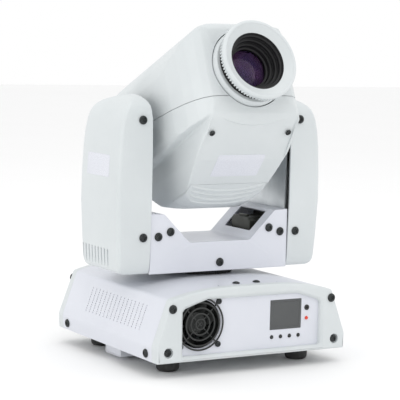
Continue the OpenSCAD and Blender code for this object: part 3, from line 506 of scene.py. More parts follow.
# ------------------------------------------------------------------ screws
SCREW_R = 5.2          # head radius of the base and yoke fixings
SHANK = 5.0            # length of every shank
BEZEL_LEAN = math.radians(2.2)      # the bezel faces lean back
HALF_DEPTH = 129.5     # half depth of the base over both bezels
FLOOR_Z = 18.0         # underside of the base
PANEL_Y = -121.5       # outer face of the front panel
COVER_Y = 115.7        # where the bezels meet the cover
FAN_X, FAN_Z = -70.7, 59.8
FAN_PITCH = 50        # between the fan screws


def dome_head(bm, place, r):
    """Button head fixing with a rolled rim and a cross recess, seated on the local z = 0 plane."""
    screw = bmesh.new()
    h = r * 0.53
    recess_r = r * 0.36
    prof = [(0, -SHANK), (r * 0.32, -SHANK), (r * 0.36, -SHANK + 0.6), (r * 0.36, 0), (r * 0.97, 0),
            (r, r * 0.05), (r, r * 0.11)]
    prof += [(r * math.cos(math.radians(t)), r * 0.12 + r * 0.41 * math.sin(math.radians(t)))
             for t in range(8, 68, 6)]
    prof += [(recess_r + r * 0.035, h - r * 0.01), (recess_r, h - r * 0.05),
             (recess_r * 0.97, h - r * 0.28), (0, h - r * 0.36)]
    lathe(screw, prof, seg=36)
    for a in (20, 110):
        bar = bmesh.new()
        box_mesh(bar, (-r * 0.62, -r * 0.085, h - r * 0.3), (r * 0.62, r * 0.085, h + 1))
        bar.transform(Matrix.Rotation(math.radians(a), 4, "Z"))
        screw = boolean(screw, bar)
    merge(bm, screw, place)


def along(origin, direction, spin=0.0):
    """A frame at origin whose local z points along direction."""
    return Matrix.Translation(origin) @ Vector(direction).to_track_quat("Z", "Y").to_matrix().to_4x4() \
        @ Matrix.Rotation(math.radians(spin), 4, "Z")


def both_ends(places):
    """Screw places given for the front, and the same turned half round for the back."""
    turned = [((-o[0], -o[1], o[2]), (-d[0], -d[1], d[2]), r, spin) for o, d, r, spin in places]
    return places + turned


def screw_piece(places, name, body, node):
    """Screws given as (origin, direction, head radius, turn of the recess in degrees)."""
    bm = bmesh.new()
    for origin, direction, r, spin in places:
        dome_head(bm, along(Vector(origin), direction, spin), r)
    piece(bm, name, body, (node,), ("screw",), 40)


def lean_pt(x, y, z):
    """A point y behind the leaning bezel face, in the object's frame."""
    dz = z - FLOOR_Z
    c, s = math.cos(BEZEL_LEAN), math.sin(BEZEL_LEAN)
    return Vector((x, -HALF_DEPTH + y * c + dz * s, FLOOR_Z + dz * c - y * s))


def crown(x):
    """Height of the arched top of the base."""
    return 90 + 11.7 * (1 - min(1.0, abs(x) / 111.0) ** 3)


places = []
for s in (-1, 1):
    places.append((lean_pt(s * 109.5, -0.05, 80.2), (0, -math.cos(BEZEL_LEAN), math.sin(BEZEL_LEAN)),
                   SCREW_R, 20 * s + 11))
    places.append(((s * 114.5, -HALF_DEPTH + 3.35, 30.2), (0, -1, 0), 4.6, 33 * s))
    places.append(((s * 14, -108, crown(14) + 0.1), (0, 0, 1), 4.4, 15 * s))
places = both_ends(places)
FLANK_TILT = math.radians(3)
for s in (-1, 1):
    for y in (-102, 102):
        places.append(((s * 129.35, y, 26.8), (s * math.cos(FLANK_TILT), 0, -math.sin(FLANK_TILT)), SCREW_R, y))
screw_piece(places, "base_fixing_screws", "base", "base_screws")

places = []
for s in (-1, 1):
    places.append(((s * 85.7, -47.05, 152), (0, -1, 0), SCREW_R, 25 * s))
    places.append(((s * 69.3, -47.05, 157.3), (0, -1, 0), SCREW_R, 40 * s))
    places.append(((s * 107, -48.95, 152), (0, -1, 0.017), SCREW_R, 5 * s))
    places.append(((s * 110, -47.85, 290), (0, -1, 0.052), SCREW_R, 60 * s))
places.append(((0, -47.05, 118), (0, -1, 0), SCREW_R, 12))
screw_piece(both_ends(places), "yoke_fixing_screws", "yoke", "yoke_screws")

places = []
for x in (-FAN_PITCH / 2, FAN_PITCH / 2):
    for z in (-FAN_PITCH / 2, FAN_PITCH / 2):
        places.append(((FAN_X + x, PANEL_Y - 1.65, FAN_Z + z), (0, -1, 0), 3.3, x + z / 3))
for x in (26, 66):
    places.append(((x, -PANEL_Y + 2.5, 50.2), (0, 1, 0), 2.4, x))
for x in (-44, 0):
    for s in (-1, 1):
        places.append(((x + s * 9.5, -PANEL_Y + 2.3, 54 + s * 12), (0, 1, 0), 2.4, 30 * s))
screw_piece(places, "panel_fixing_screws", "base", "panel_screws")

# frames of the two recessed screws in the underside face of the head
HEAD_SCREWS = [Matrix.Translation((s * 52.4, -99.5, -44.6)) @ Matrix.Rotation(math.radians(145), 4, "X")
               for s in (-1, 1)]
places = []
for s, m in zip((-1, 1), HEAD_SCREWS):
    d = (HEAD @ m).to_3x3() @ Vector((0, 0, 1))
    places.append(((HEAD @ m).translation - d * 0.8, d, 3.6, 30 * s))
screw_piece(places, "head_shell_screws", "head", "head_screws")


# ------------------------------------------------------------------ base
def base_profile(r=5.0):
    """The end outline of the base, counter-clockwise seen from the front; r rounds the creases."""
    pts = [(-128.5, FLOOR_Z, 1.2), (128.5, FLOOR_Z, 1.2), (130, 36, 14), (111, 90, r)]
    steps = 12
    for i in range(1, 2 * steps):
        x = 111 - i * 111 / steps
        pts.append((x, crown(x)))
    pts += [(-111, 90, r), (-130, 36, 14)]
    return [tuple(p) for p in fillet(pts, True, 6)]


def window_profile(g):
    """The outline of the bezel window, widened by g."""
    return fillet([(-95 - g, 24 - g, 3), (95 + g, 24 - g, 3), (95 + g, 75 + g * 0.6, 3),
                   (91.5 + g * 0.7, 79 + g * 0.8, 4), (62, 88.2 + g, 10), (-62, 88.2 + g, 10),
                   (-91.5 - g * 0.7, 79 + g * 0.8, 4), (-95 - g, 75 + g * 0.6, 3)], True, 6)


def bezel(name, node, behind):
    """Moulded end frame: rounded outer edge, bevelled window, two screw wells and an open back."""
    depth = HALF_DEPTH - COVER_Y

    def at(p, y):
        # the face leans, the back is square to the base
        t = y / depth
        return Vector((p[0], lean_pt(p[0], 0, p[1]).y * (1 - t) - COVER_Y * t, p[1]))

    bm = bmesh.new()
    outline = base_profile()
    outer = loft(bm, [[at(p, y) for p in inset(outline, o)] for o, y in
                      ((0.0, depth), (0.0, 3.2), (0.16, 1.9), (0.62, 0.85), (1.4, 0.2), (2.4, 0.0))])
    window = loft(bm, [[at(p, y) for p in window_profile(g)] for g, y in
                       ((4.0, 0.0), (3.3, 0.25), (0.4, 2.9), (0.0, 3.6), (0.0, 8.0), (0.0, 8.4))])
    wells = []
    for s in (-1, 1):
        rings = [[at(p, y) for p in circle(s * 114.5, 30.2, r, 40)] for r, y in
                 ((6.3, 0.0), (5.8, 0.5), (5.8, 3.45))]
        wells.append(loft(bm, rings, cap1=True)[0])
    fill_between(bm, [outer[-1], window[0]] + wells)
    back = loft(bm, [[at(p, y) for p in inset(outline, 3.0)] for y in (depth, 10.0)])
    n = len(outer[0])
    for i in range(n):
        j = (i + 1) % n
        bm.faces.new((outer[0][i], outer[0][j], back[0][j], back[0][i]))
    fill_between(bm, [back[1], window[-1]])
    if behind:
        bm.transform(Matrix.Rotation(math.pi, 4, "Z"))
    piece(bm, name, "base", (node,), ("plastic",), 38)


bezel("moulded_front_bezel", "front_bezel", False)
bezel("moulded_rear_bezel", "rear_bezel", True)


def strip_ends(bm, rings, m):
    """Closes the end rings of a sheet whose loop is m points out and m points back."""
    for ring in (rings[0], rings[-1]):
        for i in range(m - 1):
            bm.faces.new((ring[i], ring[i + 1], ring[2 * m - 2 - i], ring[2 * m - 1 - i]))


FLANK_RUN, FLANK_RISE = 19, 54      # the flanks lean in by 19 mm over 54 mm above z = 36


def flank_x(z):
    return 130 - (z - 36) * FLANK_RUN / FLANK_RISE


def folded_cover():
    """Folded sheet with rounded bends, round cooling holes in each flank and a hole for the shaft."""
    outline = base_profile(6.0)
    inner = inset(outline, 1.2)
    n = len(outline)
    # an open line from one bottom edge over the top to the other
    start = max(range(n), key=lambda i: (-abs(outline[i][1] - FLOOR_Z) * 1000 + outline[i][0]))
    keep = [(start + k) % n for k in range(n)]
    keep = [i for i in keep if outline[i][1] > FLOOR_Z + 0.01 or abs(outline[i][0]) > 128]
    out_line = [Vector(outline[i]) for i in keep]
    in_line = [inner[i] for i in keep]
    in_line[0].y = in_line[-1].y = FLOOR_Z
    loop = out_line + in_line[::-1]
    bm = bmesh.new()
    rings = loft(bm, [[(p.x, y, p.y) for p in loop] for y in (-115.5, -115.2, 115.2, 115.5)])
    strip_ends(bm, rings, len(out_line))
    cut = bmesh.new()
    slope = math.atan2(FLANK_RUN, FLANK_RISE)
    for s in (-1, 1):
        for i in range(16):
            for j in range(11):
                z = 50 + j * 2.7
                lathe(cut, [(0, -5), (0.92, -5), (0.92, 5), (0, 5)], (s * flank_x(z), -77 + i * 9.133, z),
                      (math.cos(slope), 0, s * math.sin(slope)), 10)
    bm = boolean(bm, cut)
    cut = bmesh.new()
    lathe(cut, [(0, 80), (30, 80), (30, 120), (0, 120)])
    for s in (-1, 1):
        for k in (-1, 1):
            lathe(cut, [(0, 90), (1.4, 90), (1.4, 110), (0, 110)], (s * 40.5, k * 111.5, 0), seg=20)
    return boolean(bm, cut)


piece(folded_cover(), "folded_base_cover", "base", ("base_cover",), ("paint",), 30, 60)

# fixed pan shaft with a ribbed collar under the yoke
bm = bmesh.new()
z0, z1 = crown(0) + 0.1, 106.1
turn(bm, [(21, z0), (37.6, z0, 0.5), (38.6, z0 + 0.9, 0.4), (38.6, z1 - 0.8, 0.5), (37.4, z1, 0.4),
          (21, z1)], seg=144)
for k in range(72):
    rib = bmesh.new()
    box_mesh(rib, (38.0, -0.75, z0 + 0.4), (39.9, 0.75, z1 - 0.9), 0.3)
    merge(bm, rib, Matrix.Rotation(2 * math.pi * k / 72, 4, "Z"))
lathe(bm, [(16, 18.5), (19.9, 18.5), (19.9, 130.9), (16, 130.9)], seg=96)
piece(bm, "pan_shaft_and_collar", "base", ("pan_shaft",), ("anodised",), 35)

# feet: turned rubber with a countersunk screw hole
bm = bmesh.new()
prof = [(2.6, 8), (4.5, 8), (4.6, 7.6), (4.6, 0.5), (4.9, 0.12), (5.5, 0.0), (9.2, 0)]
prof += [(9.2 + 4.3 * math.sin(math.radians(t)), 4.6 - 4.6 * math.cos(math.radians(t)))
         for t in range(10, 88, 8)]
prof += [(13.7, 6.2), (13.95, 12.0), (14.05, 16.9), (13.8, 17.6), (13.2, 17.9), (2.6, 17.9)]
for x in (-90, 90):
    for y in (-84, 84):
        lathe(bm, prof, (x, y, 0), seg=64)
piece(bm, "turned_rubber_feet", "base", ("feet",), ("rubber",), 40)


# ------------------------------------------------------------------ fan
def wire(bm, centres, sides, wide, deep, closed):
    """A bent wire in the fan guard's plane, oval in section."""
    rings = []
    for c, side in zip(centres, sides):
        rings.append([c + side * (wide * math.cos(2 * math.pi * j / 12))
                      + Vector((0, 1, 0)) * (deep * math.sin(2 * math.pi * j / 12)) for j in range(12)])
    loft(bm, rings, True, closed, not closed, not closed)


GUARD = Vector((FAN_X, PANEL_Y - 2.4, FAN_Z))
bm = bmesh.new()
for r in (6, 12.4, 18.8, 25.2, 30.2):
    spokes = [Vector((x, 0, z)) for x, z in circle(0, 0, 1, 96)]
    wire(bm, [GUARD + d * r for d in spokes], spokes, 1.05, 0.8, True)
# two bent carriers and an eye at each corner
for a in (45, 135):
    d = Vector((math.cos(math.radians(a)), 0, math.sin(math.radians(a))))
    path = [(-31.4, 2.0), (-30.6, 1.9), (-29.8, 1.3), (29.8, 1.3), (30.6, 1.9), (31.4, 2.0)]
    wire(bm, [GUARD + d * t + Vector((0, y, 0)) for t, y in path], [Vector((-d.z, 0, d.x))] * len(path),
         0.8, 0.55, False)
for x in (-FAN_PITCH / 2, FAN_PITCH / 2):
    for z in (-FAN_PITCH / 2, FAN_PITCH / 2):
        turn(bm, [(2.2, 0.8, 0.2), (3.5, 0.8, 0.3), (3.5, 2.3, 0.3), (2.2, 2.3, 0.2)],
             GUARD + Vector((x, 0, z)), (0, 1, 0), 36)
piece(bm, "wire_fan_guard", "base", ("fan_guard",), ("black",), 40)

# seven swept, twisted blades round a hub with a rounded nose
FAN_Y = PANEL_Y + 2 + 0.1 + 2
HUB_R, BLADE_R, BLADES = 12.4, 26.6, 7
bm = bmesh.new()
turn(bm, [(0, 3), (12.9, 3, 1.6), (12.9, 21.2, 0.6), (1.9, 21.4), (1.9, 24.4), (0, 24.4)],
     (FAN_X, FAN_Y, FAN_Z), (0, 1, 0), 64)
UPPER = [(-0.5, 0.0), (-0.3, 0.07), (0.0, 0.10), (0.3, 0.07), (0.5, 0.0)]
LOWER = [0.3, 0.0, -0.3]
for b in range(BLADES):
    rings = []
    for k in range(9):
        t = k / 8
        r = HUB_R + t * (BLADE_R - HUB_R)
        chord = 11.5 + 5.5 * t
        twist = math.radians(52 - 16 * t)

        def camber(u):
            return 0.16 * chord * (0.25 - u * u) * 0.5

        section = [(u, w * 9.0 + 0.1 + camber(u)) for u, w in UPPER] + [(u, camber(u) - 0.45) for u in LOWER]
        ring = []
        for u, thick in section:
            du = u * chord
            a = 2 * math.pi * b / BLADES + 0.30 * t * t + (du * math.cos(twist) - thick * math.sin(twist)) / r
            y = FAN_Y + 12.2 + (du * math.sin(twist) + thick * math.cos(twist))
            ring.append(Vector((FAN_X + r * math.cos(a), y, FAN_Z + r * math.sin(a))))
        rings.append(ring)
    loft(bm, rings, cap0=True, cap1=True)
piece(bm, "fan_impeller", "fan_rotor", ("fan_rotor",), ("black",), 40)


# ------------------------------------------------------------------ front panel controls
# display with a thin dark surround and a recessed window
bm = bmesh.new()
lo, hi = node_box("display_window")
rings = []
for g, y in ((0.02, 2.2), (0.02, 0.35), (0.12, 0.12), (0.35, 0.0), (2.6, 0.0), (3.0, 0.35), (3.1, 0.55)):
    outline = rounded_rect(lo.x + g, lo.z + g, hi.x - g, hi.z - g, 1.4, 5)
    rings.append([(p[0], lo.y + 0.1 + y, p[1]) for p in outline])
rings = loft(bm, rings, cap0=True)
bm.faces.new(rings[-1]).material_index = 1
piece(bm, "display_glass", "base", ("display_window",), ("frame_grey", "display"), 30)

BACKWARD = (0, 1, 0)
for i in range(4):
    bm = bmesh.new()
    turn(bm, [(0, -1.25), (1.3, -1.2, 0.6), (2.05, -0.95, 0.5), (2.1, -0.3), (2.1, 2.5), (3.4, 2.5, 0.15),
              (3.4, 3.4, 0.15), (2.0, 3.4), (2.0, 4.2), (0, 4.2)],
         (29.2 + i * 12.6, PANEL_Y, 36.9), BACKWARD, 40)
    key = f"menu_button_{i + 1}"
    piece(bm, f"menu_key_{i + 1}", key, (key,), ("black",), 40)

bm = bmesh.new()
turn(bm, [(1.0, 0.9), (1.0, -0.9, 0.25), (1.7, -1.15, 0.3), (3.3, -0.9, 0.4), (3.35, -0.1, 0.1), (2.55, -0.06),
          (2.55, 3.8), (0, 3.8), (0, 0.9)], (78, PANEL_Y, 69.6), BACKWARD, 48)
piece(bm, "microphone_grommet", "base", ("microphone",), ("rubber",), 40)

bm = bmesh.new()
lathe(bm, [(0, -2.35), (0.8, -2.2), (1.5, -1.75), (1.95, -1.1), (2.08, -0.4), (2.08, 3.8), (0, 3.8)],
      (77.9, PANEL_Y, 56.9), BACKWARD, 40)
piece(bm, "status_light", "base", ("status_led",), ("led",), 40)

# folded mounting channel with closed ends
bm = bmesh.new()
outer_line = fillet([(-5.5, 17.9), (-19.5, 17.9, 2.2), (-19.5, 5.2, 2.6), (19.5, 5.2, 2.6), (19.5, 17.9, 2.2),
                     (5.5, 17.9)], False, 6)
inner_line = fillet([(-5.5, 16.1), (-17.7, 16.1, 0.8), (-17.7, 7.0, 1.0), (17.7, 7.0, 1.0), (17.7, 16.1, 0.8),
                     (5.5, 16.1)], False, 6)
loop = outer_line + inner_line[::-1]
rings = loft(bm, [[(x, p[0], p[1]) for p in loop] for x in (-117.9, 117.9)])
strip_ends(bm, rings, len(outer_line))
cut = bmesh.new()
for x, y, r in ((-90, 0, 6.25), (0, 0, 6.25), (90, 0, 6.25), (-60, -12, 2.6), (-60, 12, 2.6), (60, -12, 2.6),
                (60, 12, 2.6)):
    lathe(cut, [(0, -2), (r, -2), (r, 12), (0, 12)], (x, y, 0), seg=40)
bm = boolean(bm, cut)
for s in (-1, 1):
    box_mesh(bm, (s * 117.3 - 0.6, -18.4, 5.9), (s * 117.3 + 0.6, 18.4, 17.3), 0.35)
piece(bm, "mounting_channel", "base", ("clamp_bracket",), ("paint",), 30)

# dark pads behind the cooling holes: painted shade, a dark sheet that stands in for the shadowed inside of the
# base seen through the holes
bm = bmesh.new()
for s in (-1, 1):
    pad = [(s * (flank_x(z) - d), z) for z, d in ((46, 2.0), (82, 2.0), (82, 5.0), (46, 5.0))]
    prism(bm, pad, "y", -84, 68)
piece(bm, "painted_shade_pads", "base", (), ("rubber",), 30)


# ------------------------------------------------------------------ yoke
def bent_sheet(bm, outer, inner, y0, y1):
    """A sheet between two matching open (x, z) lines, run along y, with softened end edges."""
    loop, edge = outer + inner[::-1], 0.5
    mid = [(Vector(a) + Vector(b)) / 2 for a, b in zip(outer, inner)]
    mid = mid + mid[::-1]
    rings = []
    for f, y in ((0.5, y0), (0.12, y0 + edge * 0.3), (0.0, y0 + edge), (0.0, (y0 + y1) / 2),
                 (0.0, y1 - edge), (0.12, y1 - edge * 0.3), (0.5, y1)):
        rings.append([(p[0] * (1 - f) + c[0] * f, y, p[1] * (1 - f) + c[1] * f) for p, c in zip(loop, mid)])
    strip_ends(bm, loft(bm, rings), len(outer))


def bar_line(o=0.0):
    """The top of the crossbar from the right arm to the left one, lowered by o."""
    line = [(93.8, 179.4 - o), (77.5 + o * 0.4, 178.5 - o, 5), (42.4 + o * 0.4, 143.5 - o, 7),
            (-42.4 - o * 0.4, 143.5 - o, 7), (-77.5 - o * 0.4, 178.5 - o, 5), (-93.8, 179.4 - o)]
    return [tuple(p) for p in fillet(line, False, 8)]


bm = bmesh.new()
bent_sheet(bm, bar_line(0.0), bar_line(1.6), -46.2, 46.2)
# window in the right ramp, where the head's wiring passes
window = bmesh.new()
prism(window, rounded_rect(-16.5, -29.5, 16.5, 29.5, 2.5, 5), "z", -8, 8)
RAMP = math.atan2(35, 35.1)
window.transform(Matrix.Translation((63, -2, 164.2)) @ Matrix.Rotation(-RAMP, 4, "Y"))
bm = boolean(bm, window)
# front and back walls with a rolled edge
face = [(-96.2, 107.6), (96.2, 107.6), (96.2, 179.4)] + bar_line(0.0) + [(-96.2, 179.4)]
for side in (-1, 1):
    wall = bmesh.new()
    rings = loft(wall, [[(p[0], side * y, p[1]) for p in (inset(face, o) if o else face)] for o, y in
                        ((0.9, 47.0), (0.35, 46.85), (0.08, 46.5), (0.0, 46.0), (0.0, 45.2))])
    fill_between(wall, [rings[0]])
    fill_between(wall, [rings[-1]])
    bmesh.ops.recalc_face_normals(wall, faces=wall.faces)
    merge(bm, wall)
piece(bm, "pressed_crossbar", "yoke", ("crossbar_shell",), ("paint",), 30, 60)

# outer face and half depth of an arm cover against height
ARM_OUT = [(108.6, 129.5), (109.4, 132.2), (110.6, 134.2), (112.6, 136.1), (116, 137.4), (121, 138.2),
           (147, 139.8), (190, 141.4), (225, 141.1), (255, 139.7), (275, 138), (289, 135.4), (296, 133.2),
           (301.5, 130.2), (306, 126.6), (309.6, 122.4), (312.4, 117.8), (314.6, 112.6), (316.3, 107),
           (317.4, 101.5), (318.1, 97.3)]
ARM_DEEP = [(108.6, 43.2), (110.6, 45.2), (116, 46.9), (121, 47.5), (147, 48.6), (190, 50), (255, 49.2),
            (275, 48.4), (289, 47.4), (296, 46.2), (301.5, 44.6), (306, 41.6), (309.6, 36.8), (312.4, 30.6),
            (314.6, 23.5), (316.3, 16.8), (317.4, 10.5), (318.1, 5.5)]
ARM_HEIGHTS = [108.6, 109.4, 110.6, 112.6, 116, 121, 130, 147, 168, 190, 225, 255, 275, 289, 296, 301.5, 306,
               309.6, 312.4, 314.6, 316.3, 317.4, 318.1]
ARM_IN = 97.0       # plane of the arm's open side


def look_up(table, z):
    return float(np.interp(z, [t[0] for t in table], [t[1] for t in table]))


def arm_ring(z):
    """The section of an arm cover at one height, open towards the head."""
    y = look_up(ARM_DEEP, z)
    x = max(look_up(ARM_OUT, z), ARM_IN + 0.25)
    w = x - ARM_IN
    r = min(4.5, w * 0.9, y * 0.9)
    run = [ARM_IN + (w - r) * j / 6 for j in range(6)]
    ring = [(v, -y) for v in run]
    for j in range(9):
        t = math.radians(-90 + 90 * j / 8)
        ring.append((x - r + r * math.cos(t), -y + r + r * math.sin(t)))
    ring += [(x, -y + r + (2 * y - 2 * r) * j / 12) for j in range(1, 12)]
    for j in range(9):
        t = math.radians(90 * j / 8)
        ring.append((x - r + r * math.cos(t), y - r + r * math.sin(t)))
    ring += [(v, y) for v in reversed(run)]
    return [(p[0], p[1], z) for p in ring]


def arm_cover(name, node, side):
    bm = bmesh.new()
    rings = loft(bm, [arm_ring(z) for z in ARM_HEIGHTS], False)
    # bottom and crown close the shell
    m = len(rings[0])
    for ring in (rings[0], rings[-1]):
        for i in range(m // 2 - 1):
            bm.faces.new((ring[i], ring[i + 1], ring[m - 2 - i], ring[m - 1 - i]))
        bm.faces.new((ring[m // 2 - 1], ring[m // 2], ring[m // 2 + 1]))
    bmesh.ops.recalc_face_normals(bm, faces=bm.faces)
    outermost = max(bm.faces, key=lambda f: f.calc_center_median().x)
    if outermost.normal.x < 0:
        bmesh.ops.reverse_faces(bm, faces=bm.faces)
    bm = thicken(bm, 2.2)
    cut = bmesh.new()
    for i in range(9):
        prism(cut, capsule(-20.5 + i * 8, 121.0, 1.5, 16.0), "x", 137.0, 146)
    bm = boolean(bm, cut)
    if side < 0:
        bmesh.ops.scale(bm, vec=(-1, 1, 1), verts=bm.verts)
        bmesh.ops.reverse_faces(bm, faces=bm.faces)
    piece(bm, name, "yoke", (node,), ("plastic",), 34)


arm_cover("left_arm_moulding", "left_arm_cover", -1)
arm_cover("right_arm_moulding", "right_arm_cover", 1)


# plain blank stickers on the outer faces of the arms
def on_arm(side, p, off):
    return side * (float(np.interp(p[1], (190, 225, 255), (141.4, 141.1, 139.7))) + off), p[0], p[1]


bm = bmesh.new()
outline = rounded_rect(-24, 222, 32, 248, 2)
for side in (-1, 1):
    loft(bm, [[on_arm(side, p, 0.02) for p in outline], [on_arm(side, p, 0.26) for p in inset(outline, 0.12)]],
         cap0=True, cap1=True)
piece(bm, "blank_arm_stickers", "yoke", ("arm_labels",), ("sticker",), 30)

# tilt motor: laminated stack between two cast end bells, on an angle plate
MOTOR_Z = 146.0


def motor_block(bm, x0, x1, h, c, mat, edge):
    """A square block along x, its sides 2 h wide with corners cut by c."""
    rings = []
    for o, x in ((edge, x0), (0, x0 + edge), (0, x1 - edge), (edge, x1)):
        g, r = h - o, 1.2
        octagon = fillet([(-g + c, -g, r), (g - c, -g, r), (g, -g + c, r), (g, g - c, r), (g - c, g, r),
                          (-g + c, g, r), (-g, g - c, r), (-g, -g + c, r)], True, 3)
        rings.append([(x, p[0], MOTOR_Z + p[1]) for p in octagon])
    loft(bm, rings, cap0=True, cap1=True, mat=mat)


bm = bmesh.new()
motor_block(bm, 57.5, 66.0, 21.0, 4.0, 1, 0.8)
motor_block(bm, 66.0, 83.0, 20.4, 4.3, 0, 0.15)
motor_block(bm, 83.0, 91.5, 21.0, 4.0, 1, 0.8)
for i in range(16):
    motor_block(bm, 66.6 + i, 66.6 + i + 0.45, 20.6, 4.3, 0, 0.05)
box_mesh(bm, (91.6, -24, 124), (93.8, 24, 170), 0.5, mat=2)
turn(bm, [(0, 91.6), (11, 91.6), (11, 93.6, 0.4), (0, 93.6)], (0, 0, MOTOR_Z), (1, 0, 0), 48, 1)
box_mesh(bm, (60, -9, 166.9), (64.5, 9, 169.6), 0.4, mat=3)
piece(bm, "tilt_drive_motor", "yoke", ("tilt_motor",), ("motor", "endbell", "zinc", "black"), 35)


# ------------------------------------------------------------------ head (head frame: lens towards -y)
def mirrored(pts):
    return pts + [(-p[0], *p[1:]) for p in reversed(pts) if abs(p[0]) > 1e-6]


# the head is where a side, a plan and a section outline meet; each outline is moved inward by o
def head_side(o):
    k = o * 0.7
    return fillet([(92 - o, 30, 12), (91 - o, 52, 12), (85 - k, 66 - k, 12), (72 - k, 75 - k, 16),
                   (50, 81 - o, 30), (20, 86 - o, 30), (-15, 88.5 - o, 30), (-60, 90 - o, 30),
                   (-98, 90.6 - o, 12), (-110 + k, 89 - o, 9), (-117 + k, 85 - k, 7), (-120.5 + o, 78 - k, 7),
                   (-121 + o, 60, 9), (-121 + o, -6, 12), (-119.8 + o, -16, 8), (-117.5 + k, -25 + k, 3),
                   (-106, -30 + o, 8), (-60, -36 + o, 20), (10, -42 + o, 20), (60, -44 + o, 14),
                   (84 - k, -38 + k, 9), (92 - o, -20, 12)], True, 5)


def head_plan(o):
    k = o * 0.7
    return fillet(mirrored([(0, 92 - o), (52, 92 - o, 9), (62 - k, 88 - k, 9), (72 - k, 76, 12),
                            (78.5 - o, 58, 16), (81.4 - o, 30, 20), (82 - o, 0, 20), (81.4 - o, -34, 20),
                            (79.5 - o, -64, 20), (75 - o, -88, 12), (69.5 - o, -103, 8),
                            (63 - o, -113 + o * 0.5, 5), (55 - k, -119 + k, 5), (44, -121 + o, 6),
                            (0, -121 + o)]), True, 5)


def head_section(o):
    k = o * 0.7
    return fillet(mirrored([(0, 90.8 - o, 18), (22, 89.6 - o, 18), (42, 86 - o, 16), (58, 80 - o, 12),
                            (69 - k, 71.5 - k, 11), (76.5 - o, 59, 13), (80.5 - o, 44, 14), (82 - o, 26, 16),
                            (82 - o, -18, 10), (80.5 - o, -30, 8), (76 - k, -38 + k, 5), (68, -43 + o, 6),
                            (60, -45 + o), (0, -45 + o)]), True, 5)


def belly_side(o):
    k = o * 0.6
    return fillet([(-100 + o * 2, 0), (-119 + o * 1.6, -18), (-117.8 + o * 1.4, -26, 4),
                   (-113 + o, -32.5 + k, 5), (-101.5 + k, -43.2 + k, 8), (-73.2, -62.5 + o, 20),
                   (-43.7, -78.2 + o, 20),
                   (-30, -85.2 + o, 16), (-5, -96.5 + o, 11), (6 - k, -98.6 + o, 8), (20 - k, -97.6 + o, 10),
                   (44 - k, -86 + o, 16), (66 - o, -62 + k, 16), (76 - o, -40, 14), (78 - o, 0)], True, 5)


def belly_section(o):
    k = o * 0.7
    return fillet(mirrored([(0, -100.2 + o, 10), (16, -99.6 + o, 12), (32, -98 + o, 12), (45 - k, -95 + k, 7),
                            (53.5 - k, -90 + k, 6), (58 - k, -78, 8), (62.5 - o, -62, 12), (64.5 - o, -44, 10),
                            (64.5 - o, 0)]), True, 5)


def belly_plan(o):
    k = o * 0.7
    return fillet(mirrored([(0, 84 - o), (48, 84 - o, 8), (58 - k, 78 - k, 8), (64 - o, 62, 12),
                            (66 - o, 20, 16), (66 - o, -30, 16), (62.5 - o, -90, 12), (58.5 - k, -116, 3),
                            (56 - k, -121 + o, 3), (0, -121 + o)]), True, 5)


def prism_bm(pts, axis, a, b):
    bm = bmesh.new()
    prism(bm, pts, axis, a, b)
    return bm


def form(side, plan, section, o, top):
    bm = boolean(prism_bm(side(o), "x", -100, 100), prism_bm(plan(o), "z", -112, top), "INTERSECT")
    return boolean(bm, prism_bm(section(o), "y", -140, 110), "INTERSECT")


def whole_head(o, belly_o):
    return boolean(form(head_side, head_plan, head_section, o, 120),
                   form(belly_side, belly_plan, belly_section, belly_o, 2), "UNION")


def remeshed(bm, voxel, smooth):
    """An even mesh of the form with softened edges."""
    def setup(o):
        m = o.modifiers.new("remesh", "REMESH")
        m.mode = "VOXEL"
        m.voxel_size = voxel
        m.use_smooth_shade = True
        s = o.modifiers.new("smooth", "SMOOTH")
        s.factor = 0.5
        s.iterations = smooth
    return with_modifiers(bm, setup)


outer = remeshed(whole_head(0.0, 0.0), 1.3, 3)
# the underside face is set back below a curved chin edge and runs out towards the belly
slab = prism_bm([(-140, -40), (-119.5, -26.9), (-104, -38.3), (-58, -72.6), (-90, -110), (-140, -110)],
                "x", -80, 80)
chin = [(-58.5, -22.8), (-56, -25.2), (-48, -29.7), (-35, -33.3), (-18, -36.2), (0, -37.3), (18, -36.2),
        (35, -33.3), (48, -29.7), (56, -25.2), (58.5, -22.8), (60, -74), (-60, -74)]
slab = boolean(slab, prism_bm(chin[::-1], "y", -140, -40), "INTERSECT")
outer = boolean(outer, slab)
shell = boolean(outer, whole_head(3.0, 5.0))

OPTIC = (0, 0, 28.5)        # the optical axis runs from here along FORWARD
FORWARD = (0, -1, 0)
bore = bmesh.new()
lathe(bore, [(0, 20), (48.2, 20), (48.2, 140), (0, 140)], OPTIC, FORWARD, 120)
trunnions = bmesh.new()
lathe(trunnions, [(0, -100), (16, -100), (16, 100), (0, 100)], (0, 0, 0), (1, 0, 0), 64)
shell = boolean(boolean(shell, bore), trunnions)

SPLIT = Matrix.Translation((0, -121, -6)) @ Matrix.Rotation(math.radians(3.5), 4, "X")


def split_box(lo_z, hi_z):
    """A block above or below the sloping split line of the two head shells."""
    box = bmesh.new()
    box_mesh(box, (-120, -60, lo_z), (120, 260, hi_z))
    box.transform(SPLIT)
    return box


def head_piece(bm, name, node, mats=("plastic",), sharp=34, body="head"):
    bm.transform(HEAD)
    piece(bm, name, body, (node,), mats, sharp)


upper = boolean(shell.copy(), split_box(-160, 0.35))
slots = bmesh.new()
for i in range(-5, 6):
    prism(slots, capsule(i * 9, 37, 2, 15), "y", 78, 102)
head_piece(boolean(upper, slots), "upper_head_moulding", "upper_shell")

